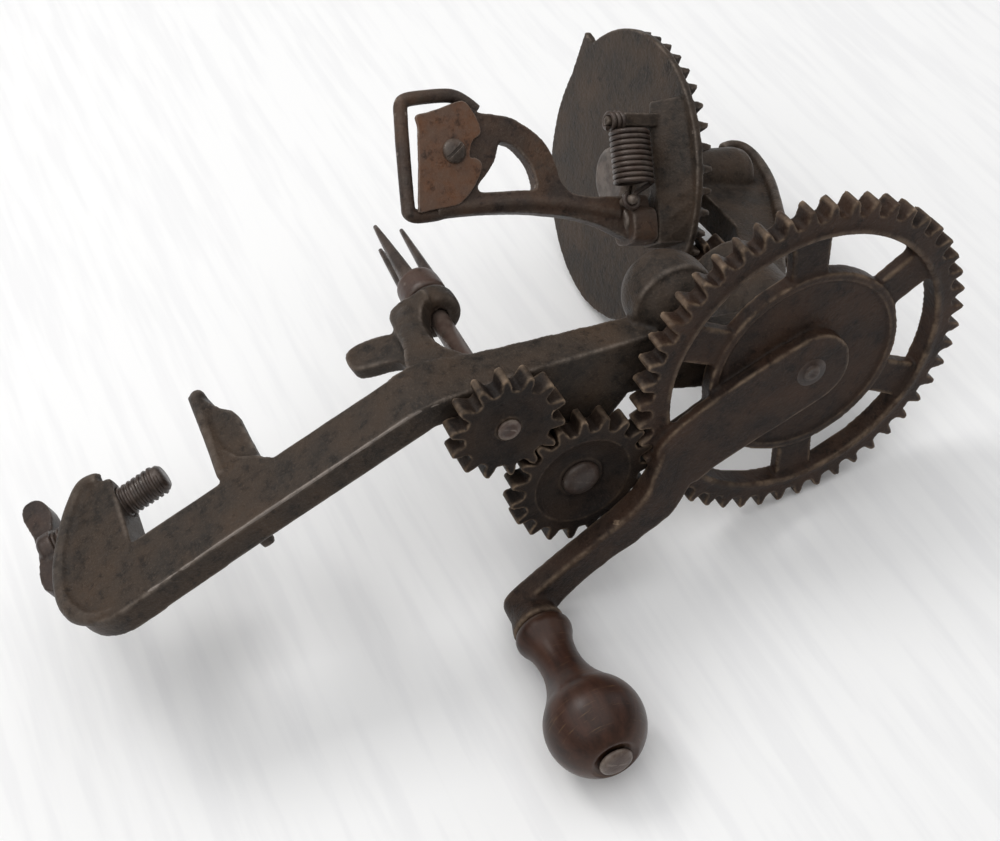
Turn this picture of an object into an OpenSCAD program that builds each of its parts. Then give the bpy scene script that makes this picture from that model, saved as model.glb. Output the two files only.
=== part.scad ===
// Clamp-on hand-cranked apple parer with a toothed turntable that carries the knife.
// Upright as used: z up the clamp leg, x towards the crank, table top under the jaw at z = 0.

/* [Frame] */
// Width of the clamp leg
leg_width = 16; // [14:0.2:18]
// Thickness of the clamp leg
leg_thick = 8.6; // [7:0.2:10]
// Height of the bend above the table top
bend_height = 60.8; // [58:0.2:62]
// Lean of the bar above the bend
bar_lean = 23.6; // [22:0.2:25]
// Length of the leaning bar
bar_length = 70; // [66:0.5:72]
// Thickness of the web that carries the gears
web_thick = 7; // [5:0.5:8]
// Height of the clamp mouth
mouth_height = 30; // [28:0.5:34]
// Reach of the upper jaw from the screw
jaw_reach = 17; // [14:0.5:20]
// Width of the pad along the table edge
pad_width = 36; // [30:0.5:40]
// Depth of the lower clamp arm
arm_depth = 22; // [19:0.5:24]
// Radius of the shaft housing
housing_radius = 14; // [12:0.5:15]

/* [Clamp screw] */
// Radius of the clamp screw
screw_radius = 4.8; // [4:0.1:5.4]
// Height of the screw tip under the table top
tip_drop = 16.5; // [13:0.5:20]
// Spread of the two wings from the axis
wing_spread = 15.5; // [12:0.5:17]
// Radius of a wing lobe
wing_radius = 5.5; // [4.5:0.1:5.8]

/* [Gears] */
// Module of the gear train
gear_module = 2.2; // [2.1:0.02:2.26]
// Face width of the teeth
gear_face = 6.6; // [5:0.2:7]
// Share of the pitch that a tooth fills
tooth_share = 0.41; // [0.34:0.01:0.43]
// Radius of the drive shaft
shaft_radius = 5; // [4:0.1:6]
// Radius of the fork spindle
spindle_radius = 3; // [2.6:0.1:3.6]
// Radius of the idler stud
stud_radius = 4; // [3:0.1:5]
// Radius of the idler stud head
stud_head = 7.4; // [6:0.1:8.4]
// Rim band inside the drive gear teeth
rim_band = 6; // [4.5:0.5:7.5]
// Thickness of the gear web and its spokes
spoke_thick = 4.2; // [3:0.2:5]
// Radius of the closed disc in the gear web
web_disc = 31; // [26:0.5:34]

/* [Crank] */
// Distance of the handle from the drive shaft
crank_length = 109; // [104:0.5:114]
// Thickness of the crank arm
crank_thick = 7; // [5.5:0.5:8]
// Height of the hub and of the crank's inner end over the gear
hub_rise = 2.4; // [1.6:0.2:3.4]
// Radius of the ball of the grip
ball_radius = 14.6; // [12.5:0.2:16]
// Length of the grip along its pin
grip_length = 51; // [48:0.5:54]
// Radius of the grip pin
grip_pin = 3.2; // [2.5:0.1:3.8]

/* [Fork] */
// Length of the tines
tine_length = 28.6; // [24:0.2:30]
// Radius of a tine at its root
tine_radius = 1.8; // [1.4:0.1:2]
// Distance of the tines from the spindle axis
tine_circle = 4.9; // [4.6:0.1:5.2]

/* [Turntable] */
// Lean of the turntable axis
table_lean = 38; // [37:0.5:39]
// Radius of the turntable
table_radius = 48.6; // [48:0.1:49]
// Thickness of the turntable plate
plate_thick = 2.4; // [2:0.1:2.6]
// Radius of the pivot stud
pivot_radius = 5; // [4:0.1:6]
// Reach of the cam lobe beyond the plate
lobe_reach = 6.2; // [4:0.2:8]

/* [Knife] */
// Thickness of the knife arm
knife_thick = 5; // [4:0.2:6]
// Thickness of the blade
blade_thick = 1.2; // [0.8:0.1:1.6]
// Radius of the hinge pin
hinge_radius = 2.5; // [2:0.1:3]
// Wire radius of the arm spring
wire_radius = 0.7; // [0.5:0.05:0.75]
// Mean radius of the spring coil
coil_radius = 7; // [6:0.1:7.2]

/* [Hidden] */
$fn = 72;

run_gap = 0.06;
seat_gap = 0.4;
side_gap = 0.8;
sink = 0.5;

iron = [0.2, 0.17, 0.15];
worn = [0.3, 0.22, 0.17];
steel = [0.42, 0.4, 0.38];
wood = [0.26, 0.14, 0.09];

leg_front = -6;
leg_back = leg_front + leg_thick;
leg_outer = 41.5;
leg_inner = leg_outer - leg_width;
throat = leg_inner - 2.9;
web_front = 41;
web_back = web_front - web_thick;
foot_top = -mouth_height;
foot_floor = foot_top - arm_depth;
jaw_thick = 12.8;
jaw_back = leg_front + 14;
pad_thick = 5;
foot_tip = 7;
foot_corner = 16;
clamp_back = leg_front + 13;
wing_z = foot_floor - 7;

drive_teeth = 48;
idler_teeth = 19;
fork_teeth = 14;
crown_teeth = 44;
table_teeth = 6;
addendum = 0.88 * gear_module;
dedendum = 1.12 * gear_module;
drive_pitch = drive_teeth * gear_module / 2;
idler_pitch = idler_teeth * gear_module / 2;
fork_pitch = fork_teeth * gear_module / 2;
idler_angle = 261.6;
fork_angle = 194.5;
drive_y = 57.6;
drive_z = 157;
idler_y = drive_y + (drive_pitch + idler_pitch) * cos(idler_angle);
idler_z = drive_z + (drive_pitch + idler_pitch) * sin(idler_angle);
fork_y = idler_y + (idler_pitch + fork_pitch) * cos(fork_angle);
fork_z = idler_z + (idler_pitch + fork_pitch) * sin(fork_angle);
drive_phase = 3.5;
idler_phase = idler_angle + 180 - drive_teeth / idler_teeth * (drive_phase - idler_angle) + 180 / idler_teeth;
fork_phase = fork_angle + 180 - idler_teeth / fork_teeth * (idler_phase - fork_angle) + 180 / fork_teeth;
gear_front = 51;
gear_back = gear_front - gear_face;
train_front = 50;
train_back = train_front - gear_face;
boss_front = train_back - seat_gap;

table_x = -55.2;
table_v = -4;
table_w = -10.6;
arm_turn = 40;
crown_inner = 41.6;
crown_mid = (crown_inner + table_radius) / 2;
crown_pitch = 2 * PI * crown_mid / crown_teeth;
pinion_pitch = crown_pitch * table_teeth / (2 * PI);
crown_height = -table_w - plate_thick - pinion_pitch + 1.6;
pinion_tip = -table_w - plate_thick - seat_gap;
pinion_root = pinion_pitch - 1.6 - seat_gap;
pinion_bore = pinion_root - 1.4;
pinion_front = table_x + table_radius + 0.4;
pinion_back = table_x + crown_inner + 0.6;
shoulder = pinion_front + 0.5;
housing_back = table_x + table_radius + lobe_reach + 2.9;

arm_low = -9;
arm_high = 9;
hub_radius = 11;
hub_height = 9;

hinge_n = 31;
hinge_e = 19.7;
eye_radius = 5.8;
eye_top = -9;
eye_floor = -22;
pin_head = 2.6;
rib_depth = 4;
coil_n = hinge_n + eye_radius + wire_radius + 0.5;
coil_w = -16.6;
coil_start = -8.6;
coil_turns = 9;
coil_pitch = 2 * wire_radius + 0.62;
loop_radius = 3;
peg_radius = 1.7;
peg_e = -14.8;
stud_e = 14.4;
arm_inner = hinge_n - knife_thick / 2;
arm_outer = hinge_n + knife_thick / 2;
guard_outer = -91.2;
guard_inner = -87.4;
blade_edge = -85;
blade_back = -73;
blade_screw_e = -3;
blade_screw_w = -75;

handle_angle = 279;
handle_y = drive_y + crank_length * cos(handle_angle);
handle_z = drive_z + crank_length * sin(handle_angle);
crank_back = gear_front + side_gap;
crank_front = crank_back + crank_thick;
hub_face = crank_back + hub_rise;
boss_face = crank_front + 6;
grip_start = boss_face + seat_gap;
grip_end = grip_start + grip_length;

bearing_front = 0;
bearing_back = -8;
bearing_radius = 7.8;
head_front = bearing_back - side_gap;
head_back = head_front - 14.6;
head_radius = tine_circle + tine_radius + 0.5;
head_floor = 4.4;
tine_root = head_floor - seat_gap;
tine_turn = 72;

function polar(r, a) = [r * cos(a), r * sin(a)];

// Outline of one gear with straight-sided teeth, a tooth centred on the phase angle.
function gear_outline(count, pitch, top, low, phase, share) = [
    for (i = [0 : count - 1])
        for (p = [[pitch - low, -0.76], [pitch, -0.5], [pitch + top, -0.26],
                  [pitch + top, 0.26], [pitch, 0.5], [pitch - low, 0.76]])
            polar(p[0], phase + 360 / count * (i + p[1] * share))
];

module along_x(x, y, z) {
    translate([x, y, z])
        rotate([90, 0, 90])
            children();
}

module rod(x0, x1, y, z, r) {
    along_x(x0, y, z)
        cylinder(h = x1 - x0, r = r);
}

module in_head() {
    translate([0, drive_y, drive_z])
        rotate([-table_lean, 0, 0])
            children();
}

module in_table() {
    in_head()
        translate([table_x, table_v, table_w])
            rotate([0, 0, -arm_turn])
                children();
}

// Slab whose outline lies in the e-w plane of the knife arm, grown along n.
module arm_slab(n0, n1) {
    translate([n0, 0, 0])
        rotate([90, 0, 90])
            linear_extrude(height = n1 - n0)
                children();
}

module clamp_outline() {
    polygon([[leg_outer, bend_height], [leg_outer, foot_floor + foot_corner],
        [leg_outer - foot_corner, foot_floor], [16, foot_floor - 1], [-9, foot_top - foot_tip],
        [-6, foot_top], [throat, foot_top], [throat, pad_thick], [leg_inner, jaw_thick + 2],
        [leg_inner, bend_height]]);
    difference() {
        translate([leg_outer - foot_corner + 2.4, foot_floor + foot_corner - 1.4])
            circle(r = foot_corner);
        translate([-jaw_reach, foot_top])
            square([throat + jaw_reach, mouth_height]);
    }
}

module jaw_outline() {
    polygon([[leg_inner + 1, 0], [-jaw_reach, 0], [-jaw_reach - 1.2, 2.6], [-4, jaw_thick - 2.6],
        [1, jaw_thick - 1], [throat - 3, jaw_thick], [leg_inner + 1, jaw_thick + 4]]);
}

module pivot_arm_outline() {
    polygon([[30, 4], [5, 19], [-22, 33.5], [-43, 42], [table_x - 2, 47], [table_x - 11, 48],
        [table_x - 15, 45], [table_x - 15, 38], [table_x - 10, 30], [-38, 25], [-25, 18.5], [-12, 12.5],
        [0, 8], [0, 0], [30, 0]]);
}

module frame() {
    color(iron)
        difference() {
            union() {
                clamp_part();
                bar_part();
                web_part();
                fork_bearing();
                housing_part();
                pivot_arm();
            }
            frame_bores();
        }
}

module clamp_part() {
    translate([0, leg_back, 0])
        rotate([90, 0, 0])
            linear_extrude(height = leg_thick)
                clamp_outline();
    translate([0, clamp_back, 0])
        rotate([90, 0, 0])
            linear_extrude(height = clamp_back - leg_front)
                intersection() {
                    clamp_outline();
                    translate([-20, foot_floor - 5])
                        square([20 + throat, arm_depth + 5]);
                }
    translate([0, jaw_back, 0])
        rotate([90, 0, 0])
            linear_extrude(height = jaw_back - leg_front)
                jaw_outline();
    translate([-jaw_reach + 2, leg_front, 0])
        cube([throat + jaw_reach - 2, pad_width, pad_thick]);
}

module bar_part() {
    translate([0, leg_front, bend_height])
        rotate([-bar_lean, 0, 0])
            translate([0, leg_thick, 0])
                rotate([90, 0, 0])
                    linear_extrude(height = leg_thick)
                        polygon([[leg_inner, -2], [web_front, -2], [web_front, bar_length],
                            [leg_inner + 5, bar_length]]);
    translate([leg_inner, leg_front + 0.1, bend_height - 4])
        cube([web_front - leg_inner, leg_thick - 0.1, 7]);
}

module web_part() {
    bar_y = leg_front + bar_length * sin(bar_lean);
    bar_z = bend_height + bar_length * cos(bar_lean);
    along_x(web_back, 0, 0)
        linear_extrude(height = web_thick)
            polygon([[leg_front + 2, bend_height - 3], [fork_y, fork_z - 11.5], [fork_y + 9, fork_z - 8],
                [idler_y - 6, idler_z - 9], [idler_y + 6, idler_z - 7], [idler_y + 8, idler_z + 4],
                [idler_y - 6, idler_z + 15], [idler_y - 11, idler_z + 25], [drive_y + 8, drive_z - 11],
                [drive_y - 6, drive_z + 12], [bar_y + 3, bar_z], [leg_front + 2, bend_height + 4]]);
    rod(web_back - 2, boss_front, idler_y, idler_z, 9);
    rod(web_back - 4, boss_front, fork_y, fork_z, 9.5);
    in_head()
        translate([web_back + 1, -13, -40])
            rotate([0, -90, 0]) {
                cylinder(h = 6, r = 13);
                translate([0, 0, 6])
                    sphere(r = 13);
            }
}

module fork_bearing() {
    rod(bearing_back, bearing_front, fork_y, fork_z, bearing_radius);
    translate([bearing_back + 3, leg_front + 2, fork_z - spindle_radius - 7.8])
        cube([leg_inner - bearing_back, fork_y - leg_front + 2, 6.5]);
    translate([bearing_back + 3, fork_y - 6, fork_z - 11])
        cube([bearing_front - bearing_back - 3, 12, 9]);
    translate([0, leg_front + 5.5, 0])
        rotate([90, 0, 0])
            linear_extrude(height = 5)
                polygon([[leg_inner - 11, bend_height + 6], [leg_inner - 18, bend_height - 9],
                    [leg_inner - 17, bend_height - 13], [leg_inner - 12, bend_height - 14],
                    [leg_inner + 2, bend_height - 4], [leg_inner + 2, bend_height + 6]]);
}

module housing_part() {
    rod(housing_back, boss_front, drive_y, drive_z, housing_radius);
}

module pivot_arm() {
    in_head() {
        translate([0, arm_high, 0])
            rotate([90, 0, 0])
                linear_extrude(height = arm_high - arm_low - 3)
                    pivot_arm_outline();
        translate([0, arm_low + 3.5, 0])
            rotate([90, 0, 0])
                linear_extrude(height = 3.5)
                    difference() {
                        pivot_arm_outline();
                        polygon([[2, 16], [-21, 29], [-43, 37.6], [table_x - 4, 42.4], [table_x - 9, 40],
                            [table_x - 8, 34.6], [-37, 29.4], [-24, 22.4], [-4, 13.4]]);
                    }
        translate([table_x, table_v, table_w + plate_thick + hub_height + seat_gap])
            cylinder(h = 36, r = 9.5);
    }
}

module frame_bores() {
    translate([0, 0, foot_floor - 10])
        cylinder(h = arm_depth + 20, r = screw_radius + run_gap);
    rod(shoulder - 1, boss_front + 2, drive_y, drive_z, shaft_radius + run_gap);
    rod(web_back - 10, boss_front + 1, idler_y, idler_z, stud_radius);
    rod(web_back - 10, boss_front + 1, fork_y, fork_z, spindle_radius + run_gap);
    rod(bearing_back - 1, bearing_front + 1, fork_y, fork_z, spindle_radius + run_gap);
    in_head()
        translate([table_x, table_v, table_w])
            cylinder(h = 40, r = pivot_radius);
}

module clamp_screw() {
    color(worn) {
        translate([0, 0, wing_z])
            cylinder(h = -tip_drop - 1 - wing_z, r = screw_radius);
        translate([0, 0, -tip_drop - 1])
            cylinder(h = 1, r1 = screw_radius, r2 = screw_radius - 1);
        translate([0, 0, wing_z - 5])
            cylinder(h = 9, r = screw_radius + 1.6);
        for (side = [-1, 1])
            translate([0, 2.5, wing_z])
                rotate([90, 0, 0])
                    linear_extrude(height = 5) {
                        translate([side * wing_spread, 0])
                            circle(r = wing_radius);
                        polygon([[0, -4], [0, 4], [side * wing_spread, 4], [side * wing_spread, -4]]);
                    }
    }
}

module drive_gear() {
    root = drive_pitch - dedendum;
    color(iron) {
        difference() {
            union() {
                along_x(gear_back, drive_y, drive_z)
                    linear_extrude(height = gear_face)
                        difference() {
                            polygon(gear_outline(drive_teeth, drive_pitch, addendum, dedendum,
                                drive_phase, tooth_share));
                            circle(r = root - rim_band);
                        }
                along_x(gear_back + 1, drive_y, drive_z)
                    linear_extrude(height = spoke_thick) {
                        circle(r = web_disc);
                        for (i = [0 : 5])
                            rotate(handle_angle + 60 * i)
                                translate([0, -5])
                                    square([root - rim_band + 1, 10]);
                    }
                rod(gear_back + 1, crank_back, drive_y, drive_z, 12);
                crank_arm();
            }
            rod(boss_front - 2, hub_face + 1, drive_y, drive_z, shaft_radius);
            rod(crank_back - 1, boss_face + 1, handle_y, handle_z, grip_pin);
        }
    }
}

module crank_arm() {
    along_x(crank_back, drive_y, drive_z)
        linear_extrude(height = hub_rise) {
            circle(r = 13);
            rotate(handle_angle)
                polygon([[0, -12], [22, -17], [42, -18], [46, -16.5], [46, 5.6], [40, 6], [0, 12]]);
        }
    along_x(crank_back, drive_y, drive_z)
        linear_extrude(height = crank_thick)
            rotate(handle_angle) {
                polygon([[44, -17.2], [54, -11.6], [60, -8], [75, -7], [90, -7], [crank_length, -6.8],
                    [crank_length, 6.8], [98, 4.6], [88, 3.6], [77, 4.4], [62, 6], [52, 5], [44, 5.7]]);
                translate([crank_length, 0])
                    circle(r = 6.8);
            }
    along_x(gear_back + 1, drive_y, drive_z)
        linear_extrude(height = crank_back - gear_back)
            rotate(handle_angle)
                polygon([[0, -9], [0, 9], [root_edge(), 6], [root_edge(), -14]]);
    rod(crank_front - 2, boss_face, handle_y, handle_z, 8.8);
}

function root_edge() = drive_pitch - dedendum - 4;

module drive_shaft() {
    color(steel) {
        rod(pinion_back, shoulder, drive_y, drive_z, pinion_bore);
        rod(shoulder, hub_face, drive_y, drive_z, shaft_radius);
        rod(hub_face, hub_face + 0.8, drive_y, drive_z, shaft_radius / 2);
    }
}

module table_pinion() {
    color(worn)
        along_x(pinion_back, drive_y, drive_z)
            linear_extrude(height = pinion_front - pinion_back)
                difference() {
                    polygon(gear_outline(table_teeth, pinion_pitch, pinion_tip - pinion_pitch,
                        pinion_pitch - pinion_root, -90 - table_lean, 0.36));
                    circle(r = pinion_bore);
                }
}

module idler_gear() {
    color(iron)
        along_x(train_back, idler_y, idler_z)
            difference() {
                linear_extrude(height = gear_face)
                    polygon(gear_outline(idler_teeth, idler_pitch, addendum, dedendum, idler_phase, tooth_share));
                translate([0, 0, -1])
                    cylinder(h = gear_face + 2, r = stud_radius + run_gap);
                translate([0, 0, gear_face - 1.6])
                    cylinder(h = 2, r = idler_pitch - dedendum - 3.2);
            }
}

module idler_stud() {
    seat = train_front - 1.6 + seat_gap;
    color(steel) {
        rod(web_back - 2, seat, idler_y, idler_z, stud_radius);
        rod(seat, seat + 1.8, idler_y, idler_z, stud_head);
    }
}

module fork_pinion() {
    color(iron)
        along_x(train_back, fork_y, fork_z)
            linear_extrude(height = gear_face)
                difference() {
                    polygon(gear_outline(fork_teeth, fork_pitch, addendum, dedendum, fork_phase, tooth_share));
                    circle(r = spindle_radius);
                }
}

module fork_spindle() {
    color(steel) {
        rod(head_back + head_floor, train_front, fork_y, fork_z, spindle_radius);
        rod(train_front, train_front + 0.6, fork_y, fork_z, spindle_radius + 1);
    }
}

module fork_head() {
    color(worn)
        along_x(head_back, fork_y, fork_z)
            difference() {
                union() {
                    cylinder(h = head_front - head_back, r = head_radius);
                    translate([0, 0, 10.4])
                        cylinder(h = 3.2, r = head_radius + 0.8);
                }
                translate([0, 0, head_floor])
                    cylinder(h = 20, r = spindle_radius);
                for (i = [0 : 2])
                    rotate(120 * i + tine_turn)
                        translate([tine_circle, 0, -1])
                            cylinder(h = tine_root + 1, r = tine_radius);
            }
}

module fork_tines() {
    color(steel)
        along_x(head_back, fork_y, fork_z)
            for (i = [0 : 2])
                rotate(120 * i + tine_turn)
                    translate([tine_circle, 0, 0]) {
                        translate([0, 0, -tine_length * 0.35])
                            cylinder(h = tine_length * 0.35 + tine_root, r = tine_radius);
                        translate([0, 0, -tine_length])
                            cylinder(h = tine_length * 0.65, r1 = 0.35, r2 = tine_radius);
                    }
}

module turntable() {
    color(iron)
        in_table()
            difference() {
                union() {
                    cylinder(h = plate_thick, r = table_radius);
                    linear_extrude(height = plate_thick)
                        polygon([polar(42, -97), polar(table_radius - 0.4, -99), polar(table_radius + lobe_reach, -103),
                            polar(table_radius + lobe_reach - 2.2, -108), polar(table_radius + 0.6, -119),
                            polar(42, -124)]);
                    cylinder(h = plate_thick + hub_height, r = hub_radius);
                    for (i = [0 : crown_teeth - 1])
                        rotate(360 / crown_teeth * (i + 0.5) + arm_turn - crown_shift())
                            crown_tooth();
                    turntable_fittings();
                }
                translate([0, 0, -1])
                    cylinder(h = 30, r = pivot_radius + run_gap);
                translate([hinge_n, hinge_e, eye_top])
                    cylinder(h = 30, r = hinge_radius);
            }
}

// Turn that sets a gap of the crown under the lowest pinion tooth.
function crown_shift() = -asin(-table_v / crown_mid);

module crown_tooth() {
    half = crown_pitch * 0.36 / 2;
    translate([crown_inner, 0, plate_thick - sink])
        rotate([90, 0, 90])
            linear_extrude(height = table_radius - crown_inner - 0.2)
                polygon([[-half * 1.2, 0], [half * 1.2, 0], [half, sink + crown_height / 2],
                    [half * 0.6, sink + crown_height], [-half * 0.6, sink + crown_height],
                    [-half, sink + crown_height / 2]]);
}

module turntable_fittings() {
    translate([0, 0, -rib_depth])
        linear_extrude(height = rib_depth + 1)
            polygon([[22, -23], [33, -23], [39, 20], [39, 27], [22, 27]]);
    translate([hinge_n, hinge_e, eye_top + seat_gap])
        cylinder(h = -eye_top - seat_gap, r = eye_radius);
    translate([25, peg_e - 4, coil_w - 4])
        cube([6, 7, -coil_w + 4]);
    translate([30, peg_e, coil_w])
        rotate([0, 90, 0])
            cylinder(h = coil_n - 30 + 2.4, r = peg_radius);
}

module table_pivot() {
    color(steel)
        in_table() {
            translate([0, 0, -seat_gap])
                cylinder(h = plate_thick + hub_height + 22, r = pivot_radius);
            translate([0, 0, -3.2])
                cylinder(h = 3.2 - seat_gap, r = 10.4);
        }
}

module knife_arm() {
    color(iron)
        in_table()
            difference() {
                union() {
                    translate([hinge_n, hinge_e, eye_floor])
                        cylinder(h = eye_top - eye_floor, r = eye_radius);
                    arm_slab(arm_inner, arm_outer)
                        difference() {
                            polygon([[hinge_e, eye_top], [10.5, eye_top - 1], [9.2, -41], [2, -42.2],
                                [-5, -45.6], [-9.8, -51], [-12.4, -57.6], [-14, -64], [-14, -79],
                                [9.6, -79], [9.6, guard_inner], [16.4, guard_inner], [17, -45],
                                [hinge_e, eye_floor]]);
                            polygon([[2.6, -46.6], [9.4, -46], [9.4, -67], [1.5, -63.4], [-6.4, -59.4],
                                [-4.4, -52]]);
                        }
                }
                translate([hinge_n, hinge_e, eye_floor - 1])
                    cylinder(h = 30, r = hinge_radius + run_gap);
                translate([hinge_n, hinge_e, eye_floor - pin_head - side_gap])
                    cylinder(h = pin_head + side_gap, r = hinge_radius + 1.8 + side_gap);
                translate([hinge_n - 10, blade_screw_e, blade_screw_w])
                    rotate([0, 90, 0])
                        cylinder(h = 20, r = 2);
                translate([hinge_n - 10, stud_e, coil_w])
                    rotate([0, 90, 0])
                        cylinder(h = 20, r = peg_radius);
            }
}

module hinge_pin() {
    color(steel)
        in_table()
            translate([hinge_n, hinge_e, eye_floor]) {
                translate([0, 0, -seat_gap])
                    cylinder(h = -eye_floor + seat_gap + 1, r = hinge_radius);
                translate([0, 0, -pin_head])
                    cylinder(h = pin_head - seat_gap, r = hinge_radius + 1.8);
            }
}

module spring_stud() {
    color(steel)
        in_table()
            translate([arm_inner, stud_e, coil_w])
                rotate([0, 90, 0])
                    cylinder(h = coil_n + 2.4 - arm_inner, r = peg_radius);
}

module knife_guard() {
    color(iron)
        in_table()
            arm_slab(arm_inner, arm_outer - 1)
                polygon([[18.4, guard_outer], [-19.4, guard_outer], [-19.4, -73], [-17.5, -68], [-14, -65],
                    [-14, -79], [-15.4, -81], [-15.4, guard_inner], [18.4, guard_inner]]);
}

module knife_blade() {
    color(steel)
        in_table()
            difference() {
                arm_slab(arm_outer, arm_outer + blade_thick) {
                    polygon([[-13.4, blade_edge], [15, blade_edge], [15, blade_back], [-13.4, blade_back]]);
                    for (e = [-7, 5])
                        translate([e, blade_back])
                            circle(r = 5.2);
                }
                translate([hinge_n, blade_screw_e, blade_screw_w])
                    rotate([0, 90, 0])
                        cylinder(h = 20, r = 2);
            }
}

module blade_screw() {
    color(steel)
        in_table()
            difference() {
                translate([arm_inner, blade_screw_e, blade_screw_w])
                    rotate([0, 90, 0]) {
                        cylinder(h = knife_thick + blade_thick, r = 2);
                        translate([0, 0, knife_thick + blade_thick])
                            cylinder(h = 2, r = 4);
                    }
                translate([arm_outer + blade_thick + 1, blade_screw_e - 0.6, blade_screw_w - 6])
                    cube([2, 1.2, 12]);
            }
}

module handle_grip() {
    neck = ball_radius * 0.46;
    collar = 9.6;
    ball_at = grip_length - ball_radius * 0.94;
    color(wood)
        along_x(grip_start, handle_y, handle_z)
            difference() {
                union() {
                    cylinder(h = 3, r = collar - 0.8);
                    translate([0, 0, 3])
                        cylinder(h = 4, r = collar);
                    translate([0, 0, 7])
                        cylinder(h = 8, r1 = collar, r2 = neck);
                    translate([0, 0, 15])
                        cylinder(h = ball_at - 15, r1 = neck, r2 = neck + 2.6);
                    translate([0, 0, ball_at])
                        sphere(r = ball_radius);
                }
                translate([0, 0, -1])
                    cylinder(h = grip_length + 10, r = grip_pin + run_gap);
                translate([0, 0, grip_length - 1.2])
                    cylinder(h = 10, r = ball_radius);
            }
}

module handle_pin() {
    head = grip_end - 1.2 + seat_gap;
    color(steel) {
        rod(crank_back, head, handle_y, handle_z, grip_pin);
        rod(head, head + 1.6, handle_y, handle_z, grip_pin + 1.8);
    }
}

// Path of the spring wire: a loop on the peg, the coil, a loop on the arm stud, each end straight.
function loop_points(centre, side, from, to, count) = [
    for (i = [0 : count])
        let (a = from + (to - from) * i / count)
            [coil_n, centre - side * loop_radius * cos(a), coil_w + loop_radius * sin(a)]
];

coil_path = [
    for (i = [0 : coil_turns * 8])
        let (a = 90 + 45 * i)
            [coil_n + coil_radius * cos(a), coil_start + coil_pitch * i / 8, coil_w + coil_radius * sin(a)]
];
peg_loop = loop_points(peg_e, -1, 330, 40, 9);
stud_loop = loop_points(stud_e, 1, 40, 330, 9);

function straight_end(p, q) = p + (p - q) / norm(p - q) * 2 * wire_radius;

wire_path = concat(
    [straight_end(peg_loop[0], peg_loop[1])],
    peg_loop,
    coil_path,
    stud_loop,
    [straight_end(stud_loop[9], stud_loop[8])]
);

function tangent(i) =
    let (a = wire_path[max(i - 1, 0)], b = wire_path[min(i + 1, len(wire_path) - 1)])
        (b - a) / norm(b - a);

function carried(normal, t) =
    let (flat = normal - t * (normal * t))
        flat / norm(flat);

wire_normals = [
    for (i = 0, n = carried([1, 0, 0.2], tangent(0)); i < len(wire_path);
         i = i + 1, n = i < len(wire_path) ? carried(n, tangent(i)) : n)
        n
];

function ring(i) =
    let (t = tangent(i), u = wire_normals[i], v = cross(t, u))
        [for (k = [0 : 5]) wire_path[i] + wire_radius * (u * cos(60 * k) + v * sin(60 * k))];

wire_points = [for (i = [0 : len(wire_path) - 1]) for (p = ring(i)) p];
wire_faces = concat(
    [for (k = [1 : 4]) [0, k, k + 1]],
    [
        for (i = [0 : len(wire_path) - 2])
            for (k = [0 : 5])
                let (a = 6 * i + k, b = 6 * i + (k + 1) % 6)
                    each [[a, a + 6, b + 6], [a, b + 6, b]]
    ],
    [for (k = [1 : 4]) let (s = 6 * (len(wire_path) - 1)) [s, s + k + 1, s + k]]
);

wire_gap = min([
    for (i = [0 : len(wire_path) - 7])
        for (j = [i + 6 : len(wire_path) - 1])
            norm(wire_path[i] - wire_path[j]) - 2 * wire_radius
]);
echo(wire_gap = wire_gap);

module arm_spring() {
    color(steel)
        in_table()
            polyhedron(points = wire_points, faces = wire_faces);
}

frame();
clamp_screw();
drive_gear();
drive_shaft();
table_pinion();
idler_gear();
idler_stud();
fork_pinion();
fork_spindle();
fork_head();
fork_tines();
turntable();
table_pivot();
knife_arm();
hinge_pin();
arm_spring();
spring_stud();
knife_guard();
knife_blade();
blade_screw();
handle_grip();
handle_pin();
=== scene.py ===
import math
import bmesh
import bpy
from mathutils import Euler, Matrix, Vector, noise


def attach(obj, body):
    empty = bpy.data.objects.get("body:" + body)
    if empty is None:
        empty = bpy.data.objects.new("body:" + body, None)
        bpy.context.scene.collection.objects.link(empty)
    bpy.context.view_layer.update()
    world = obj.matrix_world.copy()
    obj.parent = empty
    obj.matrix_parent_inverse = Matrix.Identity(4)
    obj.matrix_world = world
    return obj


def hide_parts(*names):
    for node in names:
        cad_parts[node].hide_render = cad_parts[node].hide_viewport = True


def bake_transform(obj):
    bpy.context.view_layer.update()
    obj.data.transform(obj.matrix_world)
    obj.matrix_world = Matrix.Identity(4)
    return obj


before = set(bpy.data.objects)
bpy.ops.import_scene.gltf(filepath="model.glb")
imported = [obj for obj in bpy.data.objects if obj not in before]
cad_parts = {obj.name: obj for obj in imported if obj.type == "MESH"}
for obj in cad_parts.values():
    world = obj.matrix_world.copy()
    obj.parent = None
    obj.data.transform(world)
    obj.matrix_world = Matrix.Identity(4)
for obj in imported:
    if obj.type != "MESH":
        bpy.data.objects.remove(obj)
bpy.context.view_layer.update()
mm = 0.001
scene = bpy.context.scene
print("frame loaded:", len(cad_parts), "nodes")

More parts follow.
